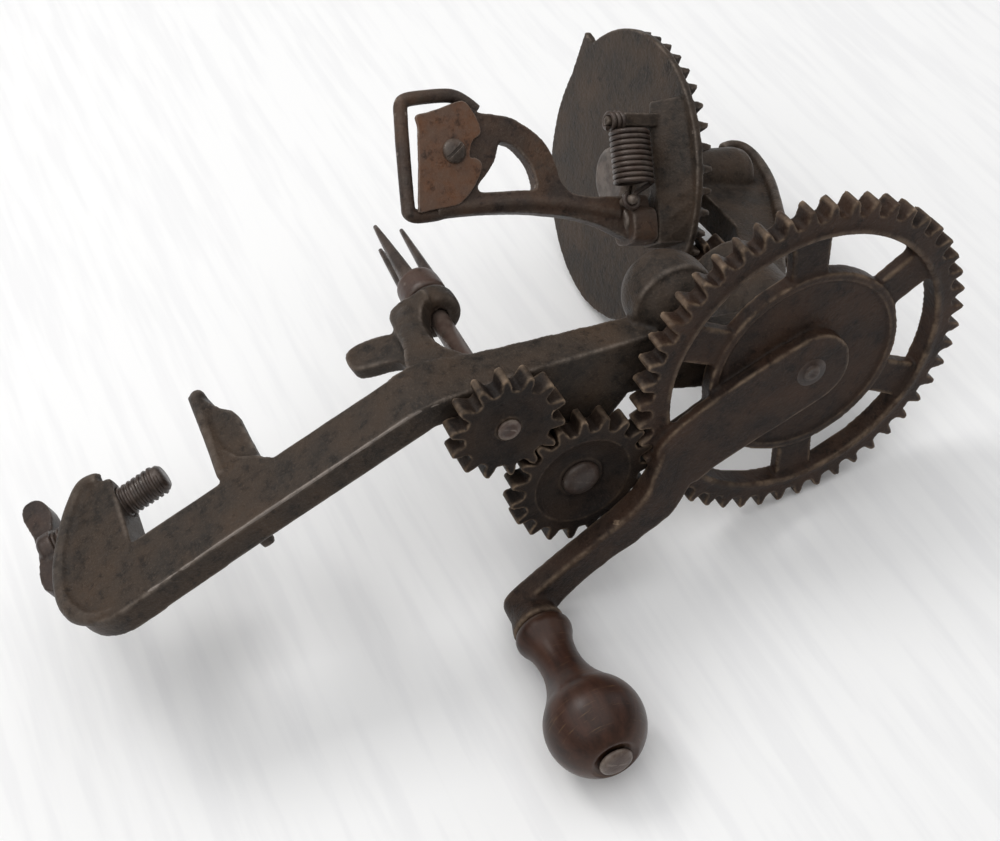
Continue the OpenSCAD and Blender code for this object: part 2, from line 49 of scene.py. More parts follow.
# places of the working axes, in mm, as the castings have them
layout = {
    "drive": (0, 57.6, 157),
    "idler": (0, 46.8337, 84.0906),
    "fork": (0, 11.6899, 75.0018),
    "handle": (0, 74.6514, 49.3420),
    "tableLean": 38,
    "table": (-55.2, -4, -10.6),  # x, v, w from the drive axis
    "armTurn": 40,
}
lean = math.radians(layout["tableLean"])
turn = math.radians(layout["armTurn"])
axisX = Vector((1, 0, 0))
axisV = Vector((0, math.cos(lean), -math.sin(lean)))
axisW = Vector((0, math.sin(lean), math.cos(lean)))
armN = axisX * math.cos(turn) - axisV * math.sin(turn)
armE = axisX * math.sin(turn) + axisV * math.cos(turn)
drivePoint = Vector(layout["drive"])
tableX, tableV, tableW = layout["table"]
tablePoint = drivePoint + axisX * tableX + axisV * tableV + axisW * tableW


def atTable(n, e, w):
    return (tablePoint + armN * n + armE * e + axisW * w) * mm


def atGear(axis, x, r, angle):
    a = math.radians(angle)
    centre = layout[axis]
    return Vector((x, centre[1] + r * math.cos(a), centre[2] + r * math.sin(a))) * mm


# small mesh tools

def plainMesh(name, verts, faces):
    mesh = bpy.data.meshes.new(name)
    mesh.from_pydata([tuple(v) for v in verts], [], faces)
    mesh.update()
    return mesh


def place(name, mesh):
    obj = bpy.data.objects.new(name, mesh)
    scene.collection.objects.link(obj)
    return obj


def settle(obj):
    bpy.context.view_layer.update()
    graph = bpy.context.evaluated_depsgraph_get()
    mesh = bpy.data.meshes.new_from_object(obj.evaluated_get(graph))
    bpy.data.objects.remove(obj)
    return mesh


def cadMesh(node):
    # a merged copy of a CAD solid
    bm = bmesh.new()
    bm.from_mesh(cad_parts[node].data)
    bmesh.ops.remove_doubles(bm, verts=bm.verts, dist=1e-6)
    mesh = bpy.data.meshes.new(node + "Copy")
    bm.to_mesh(mesh)
    bm.free()
    return mesh


def outward(mesh):
    bm = bmesh.new()
    bm.from_mesh(mesh)
    bmesh.ops.recalc_face_normals(bm, faces=bm.faces)
    bm.to_mesh(mesh)
    bm.free()
    return mesh


def skinned(rows, closed=False):
    # quads between rows of points; the ends are capped unless the last row runs on to the first
    count, steps, faces = len(rows), len(rows[0]), []
    for k in range(count if closed else count - 1):
        for i in range(steps):
            j, m = (i + 1) % steps, (k + 1) % count
            faces.append((k * steps + i, k * steps + j, m * steps + j, m * steps + i))
    if not closed:
        faces += [tuple(reversed(range(steps))), tuple(range((count - 1) * steps, count * steps))]
    return outward(plainMesh("skinned", [v for row in rows for v in row], faces))


def allRound(side, other, steps):
    # unit vectors from side towards other and on round
    angles = [2 * math.pi * i / steps for i in range(steps)]
    return [side * math.cos(a) + other * math.sin(a) for a in angles]


def turned(profile, origin, axis, steps=64):
    # turns (distance along the axis, radius) pairs, in mm, into a closed body
    thinnest = 0.02
    axis = Vector(axis).normalized()
    side = axis.orthogonal().normalized()
    ways = allRound(side, axis.cross(side), steps)
    return skinned([[Vector(origin) + (axis * t + way * max(r, thinnest)) * mm for way in ways]
                    for t, r in profile])


def ringTurned(profile, axis, steps=120):
    # turns a closed (x, radius) profile round a gear's axis
    return skinned([[atGear(axis, x, r, 360 * i / steps) for i in range(steps)] for x, r in profile], True)


def tubeMesh(points, radius, sides):
    rows, normal, last = [], None, len(points) - 1
    for i, p in enumerate(points):
        along = (points[min(i + 1, last)] - points[max(i - 1, 0)]).normalized()
        normal = along.orthogonal() if normal is None else normal - along * normal.dot(along)
        normal.normalize()
        r = radius[i] if isinstance(radius, list) else radius
        rows.append([p + way * r for way in allRound(normal, along.cross(normal), sides)])
    return skinned(rows)


def prism(outline, toPoint, low, high):
    # a closed slab: outline points (a, b), grown from low to high
    count = len(outline)
    verts = [toPoint(a, b, low) for a, b in outline] + [toPoint(a, b, high) for a, b in outline]
    faces = [tuple(reversed(range(count))), tuple(range(count, 2 * count))]
    faces += [(i, (i + 1) % count, count + (i + 1) % count, count + i) for i in range(count)]
    return outward(plainMesh("prism", verts, faces))


def between(p0, p1, p2, p3, t):
    # a point on the smooth curve from p1 to p2
    return 0.5 * (2 * p1 + (p2 - p0) * t + (2 * p0 - 5 * p1 + 4 * p2 - p3) * t * t
                  + (3 * p1 - p0 - 3 * p2 + p3) * t ** 3)


def spline(points, steps):
    # smooth path through the points
    out, last = [], len(points) - 1
    for i in range(last):
        near = [points[min(max(i + k, 0), last)] for k in (-1, 0, 1, 2)]
        out += [between(*near, s / steps) for s in range(steps)]
    return out + [points[-1].copy()]


def rounded(outline, steps=5):
    # closed smooth outline through the points
    points, out = [Vector((a, b, 0)) for a, b in outline], []
    for i in range(len(points)):
        near = [points[(i + k) % len(points)] for k in (-1, 0, 1, 2)]
        out += [tuple(between(*near, s / steps))[:2] for s in range(steps)]
    return out


def cutFrom(mesh, tool):
    # the mesh without the tool's volume
    obj, cutter = place("cutBody", mesh), place("cutTool", tool)
    cut = obj.modifiers.new("cut", "BOOLEAN")
    cut.object = cutter
    cut.solver = "EXACT"
    out = settle(obj)
    bpy.data.objects.remove(cutter)
    return out


def joined(meshes):
    bm = bmesh.new()
    for mesh in meshes:
        bm.from_mesh(mesh)
    mesh = bpy.data.meshes.new("joined")
    bm.to_mesh(mesh)
    bm.free()
    return mesh


castWave = {"broad": 160, "fine": 420, "fineShare": 0.5}


def castMesh(meshes, grain, soften, sag=0.05):
    # one skin over all the meshes, with the soft edges and slight waves of a casting
    obj = place("raw", joined(meshes))
    skin = obj.modifiers.new("skin", "REMESH")
    skin.mode = "VOXEL"
    skin.voxel_size = grain * mm
    soft = obj.modifiers.new("soft", "SMOOTH")
    soft.factor = 0.5
    soft.iterations = soften
    mesh = settle(obj)
    normals = [v.normal.copy() for v in mesh.vertices]
    for v, normal in zip(mesh.vertices, normals):
        wave = noise.noise(v.co * castWave["broad"])
        wave += castWave["fineShare"] * noise.noise(v.co * castWave["fine"])
        v.co += normal * wave * sag * mm
    mesh.update()
    return mesh


def finishPiece(name, mesh, material, body, nodes):
    for poly in mesh.polygons:
        poly.use_smooth = True
    mesh.materials.clear()
    mesh.materials.append(material)
    mesh.name = name
    obj = place(name, mesh)
    if body:
        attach(obj, body)
    if nodes:
        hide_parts(*nodes)
    return obj


# finishes

def setInputs(tree, node, values):
    # links a node's output to each named input, or sets a plain value
    for key, value in values.items():
        socket = node.inputs[key]
        if hasattr(value, "is_linked"):
            tree.links.new(value, socket)
        else:
            socket.default_value = (*value, 1) if socket.type == "RGBA" else value


def addNode(tree, kind, values, **settings):
    node = tree.nodes.new(kind)
    for key, value in settings.items():
        setattr(node, key, value)
    setInputs(tree, node, values)
    return node


def ramp(tree, source, stops):
    node = addNode(tree, "ShaderNodeValToRGB", {"Fac": source})
    for element, (pos, value) in zip([node.color_ramp.elements[0], node.color_ramp.elements[1]], stops):
        element.position = pos
        element.color = (value, value, value, 1)
    return node.outputs["Color"]


def mixColour(tree, factor, first, second):
    return addNode(tree, "ShaderNodeMix", {0: factor, 6: first, 7: second}, data_type="RGBA").outputs[2]


def mathNode(tree, operation, first, second):
    return addNode(tree, "ShaderNodeMath", {0: first, 1: second}, operation=operation).outputs[0]


def noiseNode(tree, coords, scale, detail, rough):
    values = {"Vector": coords, "Scale": scale, "Detail": detail, "Roughness": rough}
    return addNode(tree, "ShaderNodeTexNoise", values).outputs["Fac"]


def stretchedNoise(tree, coords, mapping, scale, detail, rough):
    stretch = addNode(tree, "ShaderNodeMapping", dict(mapping, Vector=coords))
    return noiseNode(tree, stretch.outputs["Vector"], scale, detail, rough)


def bumpNode(tree, strength, deep, height):
    values = {"Strength": strength, "Distance": deep, "Height": height}
    return addNode(tree, "ShaderNodeBump", values).outputs["Normal"]


def newMaterial(name):
    material = bpy.data.materials.new(name)
    material.use_nodes = True
    tree = material.node_tree
    coords = tree.nodes.new("ShaderNodeTexCoord").outputs["Object"]
    return material, tree, tree.nodes["Principled BSDF"], coords


ironNoise = {"patch": (6, 0.62), "mottle": (300, 5, 0.65), "grit": (1300, 4, 0.7), "scuff": (240, 4, 0.6),
             "grain": (420, 4, 0.6)}
ironStops = {"patch": ((0.40, 0), (0.64, 1)), "speck": ((0.42, 0), (0.70, 0.8)),
             "pit": ((0.30, 0.75), (0.46, 0)), "scuff": ((0.38, 0.15), (0.60, 1)),
             "edge": ((0.507, 0), (0.56, 1)), "hollow": ((0.44, 1), (0.492, 0))}


def ironFinish(name, look):
    # oiled and rusted cast iron: dark skin, brown patches, rubbed edges, gritty surface; pointy edges are
    # also lightened as a painted highlight and creases darkened as painted shade
    material, tree, shader, coords = newMaterial(name)
    mottle, grit, scuff, grain = (noiseNode(tree, coords, *ironNoise[key])
                                  for key in ("mottle", "grit", "scuff", "grain"))
    patches = ramp(tree, noiseNode(tree, coords, look["patchScale"], *ironNoise["patch"]), ironStops["patch"])
    colour = mixColour(tree, mathNode(tree, "MULTIPLY", patches, look["rust"]), look["skin"], look["brown"])
    colour = mixColour(tree, ramp(tree, mottle, ironStops["speck"]), colour, look["speck"])
    colour = mixColour(tree, ramp(tree, mottle, ironStops["pit"]), colour, look["hollow"])
    colour = mixColour(tree, ramp(tree, grit, ((0.52, 0), (0.74, look["gritty"]))), colour, look["grit"])
    point = tree.nodes.new("ShaderNodeNewGeometry").outputs["Pointiness"]
    edge = mathNode(tree, "MULTIPLY", ramp(tree, point, ironStops["edge"]),
                    ramp(tree, scuff, ironStops["scuff"]))
    # creases and hollows darkened by pointiness: painted shade, in the same dark colour as the random pits
    hollow = mathNode(tree, "MULTIPLY", ramp(tree, point, ironStops["hollow"]), look["hollowShadeShare"])
    colour = mixColour(tree, hollow, colour, look["hollow"])
    # pointy edges lightened in the edge colour: rubbed wear and painted highlight
    colour = mixColour(tree, mathNode(tree, "MULTIPLY", edge, look["rubAndHighlight"]), colour, look["edge"])
    rough = mathNode(tree, "ADD", mathNode(tree, "MULTIPLY", mottle, look["spread"]), look["rough"])
    rough = mathNode(tree, "SUBTRACT", rough, mathNode(tree, "MULTIPLY", edge, look["polish"]))
    height = mathNode(tree, "ADD", mathNode(tree, "MULTIPLY", grit, look["gritShare"]), grain)
    setInputs(tree, shader, {
        "Base Color": colour, "Roughness": rough, "Metallic": look["metal"],
        "Specular IOR Level": look["shine"], "Normal": bumpNode(tree, look["bump"], look["deep"], height)})
    return material


def woodFinish(name, look):
    # dark turned wood: long grain along the grip, handled shine, fine turning marks
    material, tree, shader, coords = newMaterial(name)
    grain = stretchedNoise(tree, coords, {"Scale": look["along"]}, *look["grainNoise"])
    marks = stretchedNoise(tree, coords, {"Scale": look["round"]}, *look["markNoise"])
    cloud = ramp(tree, noiseNode(tree, coords, *look["cloudNoise"]), ((0.36, 0), (0.68, 1)))
    colour = mixColour(tree, ramp(tree, grain, ((0.35, 0), (0.68, 1))), look["dark"], look["brown"])
    colour = mixColour(tree, mathNode(tree, "MULTIPLY", cloud, 0.65), colour, look["worn"])
    colour = mixColour(tree, ramp(tree, marks, ((0.60, 0), (0.78, 0.55))), colour, look["mark"])
    rough = mathNode(tree, "ADD", mathNode(tree, "MULTIPLY", grain, 0.25), look["rough"])
    height = mathNode(tree, "ADD", grain, mathNode(tree, "MULTIPLY", marks, 0.5))
    setInputs(tree, shader, {"Base Color": colour, "Roughness": rough, "Specular IOR Level": look["shine"],
                             "Normal": bumpNode(tree, 0.18, 0.0003, height)})
    return material


# edge is a rubbed-wear and painted-highlight colour; hollow colours the random pits and also the painted
# shade in creases
castLook = {"patchScale": 75, "rust": 0.85, "skin": (0.026, 0.0205, 0.0165), "brown": (0.064, 0.040, 0.025),
            "speck": (0.044, 0.034, 0.027), "hollow": (0.011, 0.0075, 0.0055), "edge": (0.22, 0.18, 0.15),
            "grit": (0.105, 0.076, 0.055), "gritty": 0.5, "rubAndHighlight": 0.75, "rough": 0.27, "metal": 0.0,
            "shine": 0.15, "bump": 0.55, "deep": 0.0006, "hollowShadeShare": 0.75, "spread": 0.34, "polish": 0.10,
            "gritShare": 0.7}
armLook = dict(castLook, rust=0.95, skin=(0.036, 0.025, 0.021), brown=(0.092, 0.050, 0.030), shine=0.22)
toothLook = dict(castLook, rust=0.95, skin=(0.020, 0.0135, 0.0112), brown=(0.055, 0.029, 0.018),
                 speck=(0.034, 0.024, 0.019), grit=(0.085, 0.056, 0.040), rubAndHighlight=0.85,
                 edge=(0.26, 0.185, 0.125), shine=0.13)
# darker copy of the tooth finish for the idler and pinion: painted shade, as they sit in the shade of the
# crank and the drive gear
smallGearShadeLook = dict(toothLook, skin=(0.0125, 0.0095, 0.0085), brown=(0.040, 0.024, 0.015),
                 speck=(0.024, 0.018, 0.015), grit=(0.06, 0.042, 0.032))
steelLook = dict(castLook, patchScale=110, skin=(0.040, 0.029, 0.024), brown=(0.072, 0.040, 0.026),
                 rough=0.22, metal=0.15, shine=0.35, bump=0.22)
springLook = dict(steelLook, skin=(0.030, 0.021, 0.018), brown=(0.055, 0.031, 0.022),
                  speck=(0.040, 0.027, 0.022), metal=0.1, rubAndHighlight=0.22)
pinLook = dict(steelLook, skin=(0.060, 0.036, 0.029), brown=(0.080, 0.042, 0.029),
               speck=(0.070, 0.044, 0.035), metal=0.0)
bladeLook = dict(steelLook, patchScale=130, rust=1.0, skin=(0.108, 0.063, 0.044), brown=(0.135, 0.058, 0.027),
                 speck=(0.118, 0.070, 0.046), grit=(0.17, 0.11, 0.08), gritty=0.4, metal=0.0, shine=0.3)
# pale skin of the tube along the leg's front edge: a painted highlight, with darker rust patches
ridgeHighlightLook = dict(castLook, patchScale=230, rust=1.0, skin=(0.21, 0.175, 0.15), brown=(0.052, 0.039, 0.031),
                 speck=(0.16, 0.13, 0.11), shine=0.5, rough=0.2)
woodLook = {"dark": (0.016, 0.008, 0.006), "brown": (0.050, 0.021, 0.0135), "worn": (0.074, 0.034, 0.020),
            "mark": (0.17, 0.10, 0.05), "rough": 0.22, "shine": 0.28, "along": (0.16, 1, 1),
            "round": (6, 0.5, 0.5), "grainNoise": (330, 6, 0.6), "markNoise": (260, 3, 0.6),
            "cloudNoise": (55, 4, 0.55)}
castIron = ironFinish("castIron", castLook)
armIron = ironFinish("armIron", armLook)
toothIron = ironFinish("toothIron", toothLook)
smallGearShadeIron = ironFinish("smallGearShadeIron", smallGearShadeLook)
darkSteel = ironFinish("darkSteel", steelLook)
bladeSteel = ironFinish("bladeSteel", bladeLook)
springSteel = ironFinish("springSteel", springLook)
pinSteel = ironFinish("pinSteel", pinLook)
ridgeHighlightIron = ironFinish("ridgeHighlightIron", ridgeHighlightLook)
turnedWood = woodFinish("turnedWood", woodLook)
print("finishes ready")


# node trees for what repeats or follows a path

def newTree(name, sockets):
    tree = bpy.data.node_groups.new(name, "GeometryNodeTree")
    tree.interface.new_socket("Geometry", in_out="INPUT", socket_type="NodeSocketGeometry")
    ids = {}
    for label, kind in sockets.items():
        socket = tree.interface.new_socket(label, in_out="INPUT", socket_type="NodeSocket" + kind)
        ids[label] = socket.identifier
    tree.interface.new_socket("Geometry", in_out="OUTPUT", socket_type="NodeSocketGeometry")
    given = tree.nodes.new("NodeGroupInput")
    tree.nodes.new("NodeGroupOutput")
    return tree, ids, given.outputs


def endTree(tree, finish, parts):
    # joins the parts, makes copies real and gives them the finish
    join = tree.nodes.new("GeometryNodeJoinGeometry")
    for part in parts:
        tree.links.new(part, join.inputs[0])
    real = addNode(tree, "GeometryNodeRealizeInstances", {0: join.outputs[0]})
    paint = addNode(tree, "GeometryNodeSetMaterial", {"Geometry": real.outputs[0], "Material": finish})
    tree.links.new(paint.outputs[0], tree.nodes["Group Output"].inputs[0])


def sweepRound(tree, path, radius, sides):
    ring = addNode(tree, "GeometryNodeCurvePrimitiveCircle", {"Radius": radius, "Resolution": sides})
    sweep = addNode(tree, "GeometryNodeCurveToMesh", {
        "Curve": path, "Profile Curve": ring.outputs["Curve"], "Fill Caps": True})
    return sweep.outputs[0]


def growNodes(name, data, tree, ids, values):
    obj = place(name, data)
    modifier = obj.modifiers.new(tree.name, "NODES")
    modifier.node_group = tree
    for label, value in values.items():
        modifier[ids[label]] = value
    return settle(obj)


def toothTree():
    # sets copies of one tooth round a gear's axis
    tree, ids, given = newTree("teethRound", {
        "Tooth": "Object", "Count": "Int", "Centre": "Vector", "Finish": "Material"})
    info = addNode(tree, "GeometryNodeObjectInfo", {"Object": given["Tooth"]}, transform_space="ORIGINAL")
    line = addNode(tree, "GeometryNodeMeshLine", {"Offset": (0, 0, 0), "Count": given["Count"]})
    step = mathNode(tree, "DIVIDE", 2 * math.pi, given["Count"])
    angle = mathNode(tree, "MULTIPLY", tree.nodes.new("GeometryNodeInputIndex").outputs[0], step)
    spin = addNode(tree, "ShaderNodeCombineXYZ", {"X": angle})
    copies = addNode(tree, "GeometryNodeInstanceOnPoints", {
        "Points": line.outputs["Mesh"], "Instance": info.outputs["Geometry"], "Rotation": spin.outputs[0]})
    move = addNode(tree, "GeometryNodeTransform", {
        "Geometry": copies.outputs[0], "Translation": given["Centre"]})
    endTree(tree, given["Finish"], [given["Geometry"], move.outputs[0]])
    return tree, ids


def wireTree():
    # sweeps a round wire along the given curve
    tree, ids, given = newTree("wireSweep", {"Wire Radius": "Float", "Sides": "Int", "Finish": "Material"})
    wire = sweepRound(tree, given["Geometry"], given["Wire Radius"], given["Sides"])
    endTree(tree, given["Finish"], [wire])
    return tree, ids


def threadTree():
    # winds one thread ridge up a screw and joins it to the core
    tree, ids, given = newTree("screwThread", {
        "Turns": "Float", "Radius": "Float", "Length": "Float", "Ridge": "Float", "Start": "Vector",
        "Finish": "Material"})
    spiral = addNode(tree, "GeometryNodeCurveSpiral", {
        "Resolution": 40, "Rotations": given["Turns"], "Start Radius": given["Radius"],
        "End Radius": given["Radius"], "Height": given["Length"]})
    ridge = sweepRound(tree, spiral.outputs[0], given["Ridge"], 6)
    move = addNode(tree, "GeometryNodeTransform", {"Geometry": ridge, "Translation": given["Start"]})
    endTree(tree, given["Finish"], [given["Geometry"], move.outputs[0]])
    return tree, ids


teethRound, teethIds = toothTree()
wireSweep, wireIds = wireTree()
screwThread, threadIds = threadTree()
print("node trees ready")


# frame casting: the plain solid, less the stretches that finer shapes take the place of, plus those shapes

frameCast = {
    "grain": 0.65, "soften": 6, "front": -6, "back": 2.6, "bend": 60.8, "lean": 23.6, "proud": 0.1,
    "bead": [(-8.6, -34), (-9.8, -39), (-4, -44.0), (4, -48.2), (13, -51.6), (22, -53.2), (30, -52.6),
             (36.6, -49.2), (40.2, -43.4), (40.8, -35), (40.6, -22), (40.4, 0), (40.4, 40), (40.4, 58)],
    "beadRadius": 2.7, "beadIn": 1.0, "beadEnd": 0.42,
    "edge": [(28, -50), (37.6, -49.4), (42.0, -44), (43.8, -37), (43.6, -30), (43.1, -18), (42.8, -4),
             (42.7, 60.8), (28, 60.8)],
    "edgeBack": 2.9, "barEdge": [(28, 0), (42.7, 0), (42.4, 10), (41.2, 26), (28, 26)], "barThick": 8.9,
    "peg": [(30.4, 1, 0.6), (30.6, 8, 0.5), (30.8, 13, 0.4), (30.9, 15.6, 0.3)], "pegRadius": 2.3,
    "footTop": -16, "footFrom": 10, "footOver": 16, "footFade": 8, "footThin": 0.9,
    "bendReach": 6, "bendSides": (25, 43.5), "bendNear": 1.6,
}
clampJaw = {
    "top": [(-20, 3.6), (-12.9, 4.4), (-8.9, 6.0), (-4.7, 9.0), (-1.8, 11.6), (10, 12.2), (20, 12.8),
            (23.4, 14.2), (25.3, 17.5), (25.3, 40), (-20, 40)],
    "hollow": [(-9.4, 4.8), (-2.0, 3.6), (5.7, 3.4), (11.0, 4.2), (17.3, 7.4), (22.4, 14), (10.2, 14),
               (-1.8, 13)],
    "bead": [(-16.6, 2.6), (-15.0, 2.2), (-8, 1.9), (2, 1.7), (12, 1.5), (20, 1.3)], "beadRadius": 1.9,
    "beadIn": 0.9, "tip": (-16.0, -7.0, 2.7), "tipRadius": 2.5, "padThick": 5,
    "pad": [(-15, -4), (4, -4.4), (21, -4), (22.2, 6), (20.4, 14), (15, 20), (7, 23), (-2, 22), (-10, 17),
            (-14, 9)],
}
forkBracket = {
    "outline": [(28, 61.2), (14, 62.2), (2, 62.5), (-5, 62.9), (-8.6, 64.4), (-9.8, 67.4), (-9.6, 72),
                (-9.2, 76), (-4, 76), (-3.2, 74), (0.4, 72), (4, 71), (9, 70.4), (15, 71), (20, 72.4),
                (24, 75), (28, 76)],
    "at": 2.6, "thick": 7.6, "sunk": 0.4, "tipX": -10, "reach": 36, "coreRadius": 4.7, "bore": 3.2,
    "core": [(29, 2.4, 66.4), (18, 2.6, 66.4), (8, 3.6, 66.4), (0, 4.7, 66.7), (-4.2, 6.0, 68.0),
             (-5.6, 8.4, 71)],
    "bearing": [(-12.4, 3.2), (-12.4, 6.4), (-11.6, 7.4), (-10.4, 7.8), (-6, 7.8), (-4.6, 7.3), (-4, 6.4),
                (-4, 3.2)],
    "finger": [(4, 66), (2.2, 62.3), (-0.4, 58.1), (-2.4, 53), (-2.9, 48.8), (-1.5, 46.4), (2.6, 45.8),
               (6.0, 46.9), (8.6, 50.7), (11, 55.7), (14.1, 59.3), (20.7, 61.1), (20.7, 67)],
    "fingerDepth": (1.0, 6.0),
}
tableArm = {
    "outline": [(-62, 28), (-65.2, 32), (-68.2, 35.9), (-71, 40.4), (-73.2, 46), (-71.8, 49.8), (-66, 50.8),
                (-56.2, 49.2), (-44.2, 45.3), (-29.2, 38.4), (-10, 29), (6, 19.6), (6, 13), (-8, 12),
                (-20, 15.8), (-34, 15.8), (-46, 15.8), (-50, 22)],
    "face": -5.5, "back": 5, "rimFrom": 3, "rimTo": 12, "rimRadius": 1.9, "rimProud": 1.2,
    "boss": [(15, 9.45), (30, 9.5), (40, 9.8), (46, 10.2), (49.6, 9.4), (51.4, 7)],
    "cut": [(-75, 6.5), (3, 6.5), (3, 24), (-44, 52), (-75, 52)], "cutFront": -16,
}
legRidge = {
    "onLeg": [(37.6, -5.3, -46.6), (41.2, -5.45, -40), (42.6, -5.5, -32), (42.5, -5.55, -18),
              (42.2, -5.6, -4), (42.15, -5.6, 30), (42.15, -5.55, 53), (42.1, -5.2, 58.6)],
    "onBar": [(42.1, 2, 1.1), (41.9, 8, 0.75), (41.4, 14, 0.8)],
    "radius": 0.5, "waver": 0.16, "waverScale": 300, "thinEnd": 0.3, "fadeIn": 14, "fadeOut": 24,
}
plainCuts = [  # outline in x and z, then y from and to
    ([(-9, 60), (25.3, 60), (25.3, 72), (0.4, 72), (0.4, 86), (-9, 86)], -5.6, 25),  # fork bearing
    ([(0, 40), (25.3, 40), (25.3, 68), (0, 68)], -5.9, 0),  # finger
    (clampJaw["top"], -6.4, 14),
    ([(-20, 5), (25.3, 5), (25.3, 40), (-20, 40)], -1.6, 14),  # leaves the jaw a thin plate
    ([(-20, -0.5), (25.2, -0.5), (25.2, 20), (-20, 20)], 2.7, 40),  # pad
    (clampJaw["hollow"], -6.6, -4.9),
    ([(20, 50), (48, 50), (48, 60.6), (20, 60.6)], -9, -6.02),  # step at the bend
]
barCut = {"outline": [(20, 0.4), (30, 0.4), (30, 16), (20, 16)], "from": -6, "to": -0.04}
slope = math.radians(frameCast["lean"])


def slab(outline, low, high):
    # an outline in x and z, grown along y
    return prism(outline, lambda x, z, y: Vector((x, y, z)) * mm, low, high)


def onBar(x, s, y):
    # across the leaning bar, up along it and into it
    return Vector((x, frameCast["front"] + y * math.cos(slope) + s * math.sin(slope),
                   frameCast["bend"] - y * math.sin(slope) + s * math.cos(slope))) * mm


def inHead(x, w, v):
    return (drivePoint + axisX * x + axisV * v + axisW * w) * mm


def smoothTube(points, radius, steps, sides):
    return tubeMesh(spline([Vector(q) * mm for q in points], steps), radius * mm, sides)


def legParts(p):
    path = spline([Vector((x, p["front"] + p["beadIn"], z)) * mm for x, z in p["bead"]], 6)
    last = len(path) - 1
    taper = [p["beadRadius"] * mm * (1 if i < 0.5 * last else max(p["beadEnd"], 1 - (i / last - 0.5) * 3))
             for i in range(last + 1)]
    return [tubeMesh(path, taper, 14), slab(p["edge"], p["front"] - p["proud"], p["edgeBack"]),
            prism(p["barEdge"], onBar, -p["proud"], p["barThick"]),
            smoothTube(p["peg"], p["pegRadius"], 5, 12)]


def jawParts(p):
    r = p["tipRadius"]
    ball = [(r - r * math.cos(0.35 * i), r * math.sin(0.35 * i)) for i in range(10)]
    bead = [(x, frameCast["front"] + p["beadIn"], z) for x, z in p["bead"]]
    return [prism(rounded(p["pad"]), lambda x, y, z: Vector((x, y, z)) * mm, 0, p["padThick"]),
            smoothTube(bead, p["beadRadius"], 6, 12), turned(ball, Vector(p["tip"]) * mm, (0, 1, 0), 20)]


def bracketParts(p):
    def onBracket(x, z, deep):  # level with the bar at its root, further back at the bearing
        share = min(max((x - p["tipX"]) / p["reach"], 0), 1)
        level = frameCast["front"] + p["sunk"] + (z - frameCast["bend"]) * math.tan(slope)
        return Vector((x, p["at"] * (1 - share) + level * share + deep, z)) * mm

    plate = prism(rounded(p["outline"]), onBracket, 0, p["thick"])
    plate = cutFrom(plate, turned([(-30, p["bore"]), (30, p["bore"])], atGear("fork", 0, 0, 0), axisX, 32))
    return [plate, smoothTube(p["core"], p["coreRadius"], 5, 16), ringTurned(p["bearing"], "fork"),
            slab(rounded(p["finger"]), *p["fingerDepth"])]


def armParts(p):
    # closed web with one rounded rim, and the boss of the turntable's pivot
    edge = p["outline"][p["rimFrom"]:p["rimTo"]]
    rim = spline([inHead(x, w, p["face"] - p["rimProud"]) for x, w in edge], 6)
    return [prism(rounded(p["outline"]), inHead, p["face"], p["back"]),
            tubeMesh(rim, p["rimRadius"] * mm, 12), turned(p["boss"], atTable(0, 0, 0), axisW, 48)]


# a thin pale tube along the leg's front edge and up the bar: a painted highlight of the ridge
def makeRidgeHighlight(p):
    path = spline([Vector(q) * mm for q in p["onLeg"]] + [onBar(*q) for q in p["onBar"]], 10)
    last = len(path) - 1
    width = [mm * (p["radius"] + p["waver"] * noise.noise(q * p["waverScale"]))
             * min(1, p["thinEnd"] + i / p["fadeIn"], p["thinEnd"] + (last - i) / p["fadeOut"])
             for i, q in enumerate(path)]
    return finishPiece("legRidge", tubeMesh(path, width, 10), ridgeHighlightIron, "frame", [])


def trimFrame(mesh, p):
    inner, outer = p["bendSides"]
    for v in mesh.vertices:
        x, y, z = v.co / mm
        if z < p["footTop"] and y > p["back"]:  # thins the foot towards its outer corner
            share = min(max((x - p["footFrom"]) / p["footOver"], 0), 1)
            share = share * share * (3 - 2 * share) * min(max((p["footTop"] - z) / p["footFade"], 0), 1)
            v.co.y = (p["back"] + (y - p["back"]) * (1 - p["footThin"] * share)) * mm
        rise = z - p["bend"] + p["bendReach"]
        if 0 < rise < 2 * p["bendReach"] and inner < x < outer and v.normal.y < -0.5:  # rounds the bend
            front = p["front"] - p["proud"] + math.tan(slope) * rise * rise / (4 * p["bendReach"])
            if abs(y - front) < p["bendNear"]:
                v.co.y = front * mm
    mesh.update()
    return mesh


def makeFrame(p):
    body = cadMesh("frame")
    for outline, low, high in plainCuts:
        body = cutFrom(body, slab(outline, low, high))
    body = cutFrom(body, prism(barCut["outline"], onBar, barCut["from"], barCut["to"]))
    body = cutFrom(body, prism(tableArm["cut"], inHead, tableArm["cutFront"], tableArm["face"] - 0.02))
    parts = [body] + legParts(p) + jawParts(clampJaw) + bracketParts(forkBracket) + armParts(tableArm)
    mesh = trimFrame(castMesh(parts, p["grain"], p["soften"]), p)
    return finishPiece("frameCasting", mesh, castIron, "frame", ["frame"])


makeRidgeHighlight(legRidge)
makeFrame(frameCast)
print("frame casting made")


# spur gears

toothShape = {"module": 2.2, "share": 0.41,  # flank: modules from the pitch circle, half width
              "flank": [(-1.5, 0.80), (-1.0, 0.74), (-0.4, 0.60), (0, 0.5), (0.45, 0.40), (0.75, 0.29),
                        (0.88, 0.15)]}


